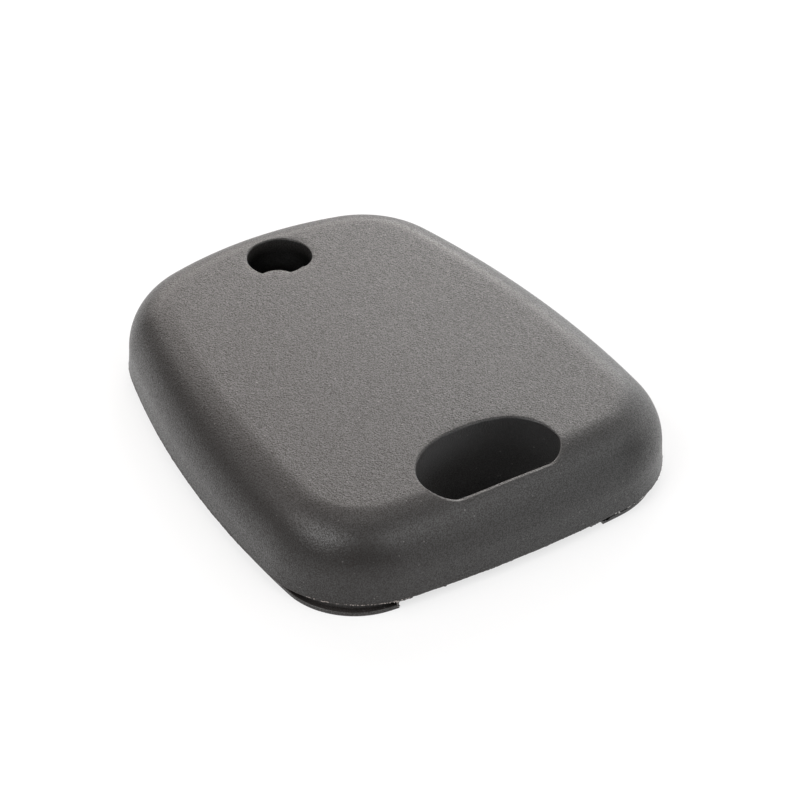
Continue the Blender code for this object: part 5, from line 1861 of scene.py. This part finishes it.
def make_finishes(look):
    """Every finish by its name, which is the record's slot where the record has one."""
    cell_centre = middle_of(*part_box("coin_cell_can"))
    return {
        "moulded_plastic": moulded_plastic("moulded plastic", look.plastic),
        "flash": moulded_plastic("plastic flash", look.plastic, 1.8),
        "pale_plastic": moulded_plastic("pale torn plastic", look.plastic, 4),
        # Darker, dull copy of the plastic: painted shade on the dark burrs and the edge burrs
        "painted_shade_plastic": moulded_plastic("torn plastic in painted shade", look.plastic, 0.3, 0),
        "stressed_plastic": moulded_plastic("stressed plastic", look.plastic, 18),
        "button_plastic": button_finish(look.button),
        "gasket_rubber": rubber_finish(),
        "board_resin": board_finish("board mask", look.board, 0.22),
        "masked_copper": board_finish("mask over copper", scaled(look.board, 1.9), 0.2),
        "board_print": ceramic_finish("board print", (0.75, 0.75, 0.70), 0.5, (0.5, 0.5, 0.45)),
        "switch_resin": ceramic_finish("switch resin", (0.018, 0.018, 0.019), 0.45, (0.03,) * 3),
        "plunger_resin": ceramic_finish(
            "plunger resin", (0.42, 0.36, 0.24), 0.4, (0.3, 0.25, 0.16)
        ),
        "tinned_steel": brushed_finish("tinned steel", (0.66, 0.64, 0.60), 0.28),
        "solder": brushed_finish("solder", (0.62, 0.61, 0.60), 0.3, (1, 1, 1), 0.2, 0.4),
        "copper_winding": brushed_finish(
            "copper winding", (0.72, 0.30, 0.14), 0.25, (9, 1, 1), 0.4
        ),
        "ferrite": ceramic_finish("ferrite", (0.03, 0.03, 0.032), 0.5, (0.06, 0.06, 0.06)),
        "cell_steel": turned_finish("cell steel", (0.72, 0.72, 0.70), 0.18, cell_centre),
        "cell_seal": soft_plastic("cell seal", (0.22, 0.22, 0.24)),
        "chip_resin": ceramic_finish("chip resin", (0.020, 0.020, 0.022), 0.55, (0.045,) * 3),
        "can_metal": brushed_finish("drawn metal", (0.74, 0.72, 0.68), 0.24, (6, 1, 6), 0.6, 0.15),
        "capsule_glass": glass_finish(),
        "resistor_ceramic": ceramic_finish(
            "resistor glaze", (0.022, 0.022, 0.026), 0.2, (0.05,) * 3
        ),
        "capacitor_ceramic": ceramic_finish(
            "capacitor ceramic", (0.42, 0.29, 0.16), 0.35, (0.26, 0.17, 0.09)
        ),
        "zinc_plated_steel": turned_finish(
            "zinc plating", (0.60, 0.61, 0.60), 0.3, (WELL_X, 0), 0.3, 0.004
        ),
    }


FINISHES = {}


def finishes():
    """The finishes, made once."""
    if not FINISHES:
        FINISHES.update(make_finishes(bpy.context.scene.key_case_finish))
    return FINISHES


# Operators


class KEYCASE_OT_rear_shell(bpy.types.Operator):
    """Build the rear shell's fine moulding"""

    bl_idname = "keycase.rear_shell"
    bl_label = "Rear shell"

    def execute(self, context):
        shell = build_rear_shell(context.scene.key_case_shape)
        place_piece(shell, "rear_half", "moulded_plastic", "moulded_plastic", "rear_shell")
        return {"FINISHED"}


class KEYCASE_OT_flash(bpy.types.Operator):
    """Build the flash and burrs that moulding left along the shell's edge and the cover's rim"""

    bl_idname = "keycase.flash"
    bl_label = "Flash and burrs"

    def execute(self, context):
        edge = case_outline(0)
        rim = rim_outline()
        on_edge = [
            *SPECKS, *scattered_specks(*LEFT_EDGE_SPECKS), *scattered_specks(*RIGHT_EDGE_SPECKS)
        ]
        on_rim = [*PALE_BURRS, *scattered_specks(*RIM_SPECKS)]
        specks = build_burrs("edge_specks", edge, on_edge, 1.4)
        pieces = (
            (build_seam_flash(context.scene.key_case_shape), "rear_half", "flash"),
            (build_burrs("edge_burrs", edge, EDGE_BURRS, 0.5), "rear_half", "painted_shade_plastic"),
            (build_burrs("pale_burrs", rim, on_rim, 1), "front_half", "pale_plastic"),
            (build_burrs("dark_burrs", rim, DARK_BURRS, 1), "front_half", "painted_shade_plastic"),
            (specks, "rear_half", "stressed_plastic"),
        )
        for piece, body, finish in pieces:
            place_piece(piece, body, finish, "moulded_plastic")
        return {"FINISHED"}


class KEYCASE_OT_front_cover(bpy.types.Operator):
    """Build the front cover's fine moulding"""

    bl_idname = "keycase.front_cover"
    bl_label = "Front cover"

    def execute(self, context):
        cover = build_front_cover()
        place_piece(cover, "front_half", "moulded_plastic", "moulded_plastic", "front_cover")
        return {"FINISHED"}


class KEYCASE_OT_case_screw(bpy.types.Operator):
    """Build the case screw with its thread and cross recess"""

    bl_idname = "keycase.case_screw"
    bl_label = "Case screw"

    def execute(self, context):
        screw = build_case_screw()
        place_piece(screw, "case_screw", "zinc_plated_steel", "zinc_plated_steel", "case_screw")
        return {"FINISHED"}


class KEYCASE_OT_buttons(bpy.types.Operator):
    """Build the two button caps"""

    bl_idname = "keycase.buttons"
    bl_label = "Buttons"

    def execute(self, context):
        for name in BUTTONS:
            place_piece(build_button(name), name, "button_plastic", "button_plastic", name)
        return {"FINISHED"}


class KEYCASE_OT_board(bpy.types.Operator):
    """Build the board's pads, copper lines and printed outlines, and the solder on it"""

    bl_idname = "keycase.board"
    bl_label = "Board details"

    def execute(self, context):
        pieces = (
            (build_board_copper(), "solder", "tinned_steel"),
            (build_board_traces(), "masked_copper", "board_resin"),
            (build_board_print(), "board_print", "board_resin"),
            (build_solder(), "solder", "tinned_steel"),
            (build_switch_legs(), "tinned_steel", "tinned_steel"),
        )
        for piece, finish, slot in pieces:
            place_piece(piece, "front_half", finish, slot)
        return {"FINISHED"}


class KEYCASE_OT_chip(bpy.types.Operator):
    """Build the controller chip's body and leads"""

    bl_idname = "keycase.chip"
    bl_label = "Controller chip"

    def execute(self, context):
        place_piece(build_chip(), "front_half", "chip_resin", "chip_resin", "controller_chip")
        place_piece(build_chip_leads(), "front_half", "solder", "tinned_steel")
        return {"FINISHED"}


class KEYCASE_OT_radio_parts(bpy.types.Operator):
    """Build the radio resonator, the crystal and the transponder capsule"""

    bl_idname = "keycase.radio_parts"
    bl_label = "Radio parts"

    def execute(self, context):
        base, lid = build_resonator()
        can, leads = build_crystal()
        glass, rod, coil = build_capsule()
        pieces = (
            (base, "capacitor_ceramic", "capacitor_ceramic"), (lid, "can_metal", "can_metal"),
            (can, "can_metal", "can_metal"), (leads, "solder", "tinned_steel"),
            (glass, "capsule_glass", "capsule_glass"), (rod, "ferrite", "capsule_glass"),
            (coil, "copper_winding", "capsule_glass"),
        )
        for piece, finish, slot in pieces:
            place_piece(piece, "front_half", finish, slot)
        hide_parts("radio_resonator")
        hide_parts("crystal")
        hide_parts("transponder_capsule")
        return {"FINISHED"}


class KEYCASE_OT_coin_cell(bpy.types.Operator):
    """Build the coin cell's can and cap"""

    bl_idname = "keycase.coin_cell"
    bl_label = "Coin cell"

    def execute(self, context):
        for piece, node in zip(build_coin_cell(), ("coin_cell_can", "coin_cell_cap")):
            place_piece(piece, "front_half", "cell_steel", "cell_steel", node)
        return {"FINISHED"}


class KEYCASE_OT_packed_parts(bpy.types.Operator):
    """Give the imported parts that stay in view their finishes"""

    bl_idname = "keycase.packed_parts"
    bl_label = "Packed parts"

    def execute(self, context):
        slots = {part["node"]: part["material_slot"] for part in frame["record"]["subparts"]}
        for name, node in frame["nodes"].items():
            if not node.hide_render:
                node.data.materials.clear()
                node.data.materials.append(finishes()[slots[name]])
                soften(node, SOFTENED.get(name, SOFT_EDGE) * MM)
        return {"FINISHED"}


class KEYCASE_OT_stage(bpy.types.Operator):
    """Set up the floor, the lights and the photograph's camera"""

    bl_idname = "keycase.stage"
    bl_label = "Stage"

    def execute(self, context):
        build_stage(context.scene.key_case_stage)
        return {"FINISHED"}


def soften(node, width):
    """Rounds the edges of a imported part, whose faces are welded together first."""
    weld = node.modifiers.new("weld", "WELD")
    weld.merge_threshold = WELD_DISTANCE
    bevel = node.modifiers.new("soft edges", "BEVEL")
    bevel.width = width
    bevel.segments = 2
    bevel.limit_method = "ANGLE"
    bevel.angle_limit = BEVEL_ANGLE
    bevel.harden_normals = False


def toward(turn, height):
    """Direction from the object, by its turn from the camera and its height, in degrees."""
    around = math.radians(VIEW_TURN + turn)
    up = math.radians(height)
    return Vector((
        math.sin(around) * math.cos(up), -math.cos(around) * math.cos(up), math.sin(up)
    ))


def soft_light(name, away, power, colour):
    """Square light that faces the object."""
    light = bpy.data.lights.new(name, "AREA")
    light.energy = power
    light.size = LIGHT_SIZE
    light.color = colour
    lamp = bpy.data.objects.new(name, light)
    lamp.location = away * LIGHT_DISTANCE
    lamp.rotation_mode = "QUATERNION"
    lamp.rotation_quaternion = (-away).to_track_quat("-Z", "Y")
    bpy.context.scene.collection.objects.link(lamp)


def build_stage(look):
    """Floor, lights, surround and camera."""
    scene = bpy.context.scene
    bm = bmesh.new()
    bmesh.ops.create_grid(
        bm, x_segments=FLOOR_STEPS, y_segments=FLOOR_STEPS, size=FLOOR_HALF_SIZE
    )
    floor = new_piece("floor", bm)
    floor.data.materials.append(light_table(look))

    world = bpy.data.worlds.new("surround")
    scene.world = world
    world.use_nodes = True
    background = world.node_tree.nodes["Background"]
    background.inputs["Color"].default_value = (1, 1, 1, 1)
    background.inputs["Strength"].default_value = SURROUND
    for name, (turn, height, power, warmth) in SOFT_LIGHTS.items():
        colour = [1 + (tint - 1) * warmth for tint in look.warmth]
        soft_light(name, toward(turn, height), power * look.brightness, colour)

    back = toward(0, VIEW_HEIGHT)
    camera = bpy.data.objects.new("camera", bpy.data.cameras.new("camera"))
    camera.data.sensor_width = SENSOR_WIDTH
    camera.data.lens = SENSOR_WIDTH * FOCAL_PIXELS / PICTURE_PIXELS
    camera.data.clip_start = 0.01
    camera.data.clip_end = 10
    camera.location = Vector(VIEW_AIM) + back * VIEW_DISTANCE
    camera.rotation_mode = "QUATERNION"
    camera.rotation_quaternion = (-back).to_track_quat("-Z", "Y")
    scene.collection.objects.link(camera)
    scene.camera = camera
    scene.view_settings.view_transform = "Standard"
    scene.view_settings.look = "None"


class KEYCASE_PT_panel(bpy.types.Panel):
    """Lists what the add-on builds"""

    bl_label = "Key Case"
    bl_space_type = "VIEW_3D"
    bl_region_type = "UI"
    bl_category = "Key Case"

    def draw(self, context):
        for operator in OPERATORS:
            self.layout.operator(operator.bl_idname)


OPERATORS = (
    KEYCASE_OT_rear_shell, KEYCASE_OT_flash, KEYCASE_OT_front_cover, KEYCASE_OT_case_screw,
    KEYCASE_OT_buttons, KEYCASE_OT_board, KEYCASE_OT_chip, KEYCASE_OT_radio_parts,
    KEYCASE_OT_coin_cell, KEYCASE_OT_packed_parts, KEYCASE_OT_stage,
)
GROUPS = {
    "key_case_shape": CaseShape, "key_case_finish": CaseFinish, "key_case_stage": StageLook,
}


def register():
    """Registers the groups, the operators and the panel."""
    for group in GROUPS.values():
        bpy.utils.register_class(group)
    for name, group in GROUPS.items():
        setattr(bpy.types.Scene, name, bpy.props.PointerProperty(type=group))
    for cls in (*OPERATORS, KEYCASE_PT_panel):
        bpy.utils.register_class(cls)


def unregister():
    """Takes away what register added."""
    for cls in (KEYCASE_PT_panel, *reversed(OPERATORS)):
        bpy.utils.unregister_class(cls)
    for name in GROUPS:
        delattr(bpy.types.Scene, name)
    for group in GROUPS.values():
        bpy.utils.unregister_class(group)


def main():
    """Builds every piece and the stage."""
    register()
    bpy.ops.keycase.rear_shell()
    bpy.ops.keycase.flash()
    bpy.ops.keycase.front_cover()
    bpy.ops.keycase.case_screw()
    bpy.ops.keycase.buttons()
    bpy.ops.keycase.board()
    bpy.ops.keycase.chip()
    bpy.ops.keycase.radio_parts()
    bpy.ops.keycase.coin_cell()
    bpy.ops.keycase.packed_parts()
    bpy.ops.keycase.stage()


if __name__ == "__main__":
    main()
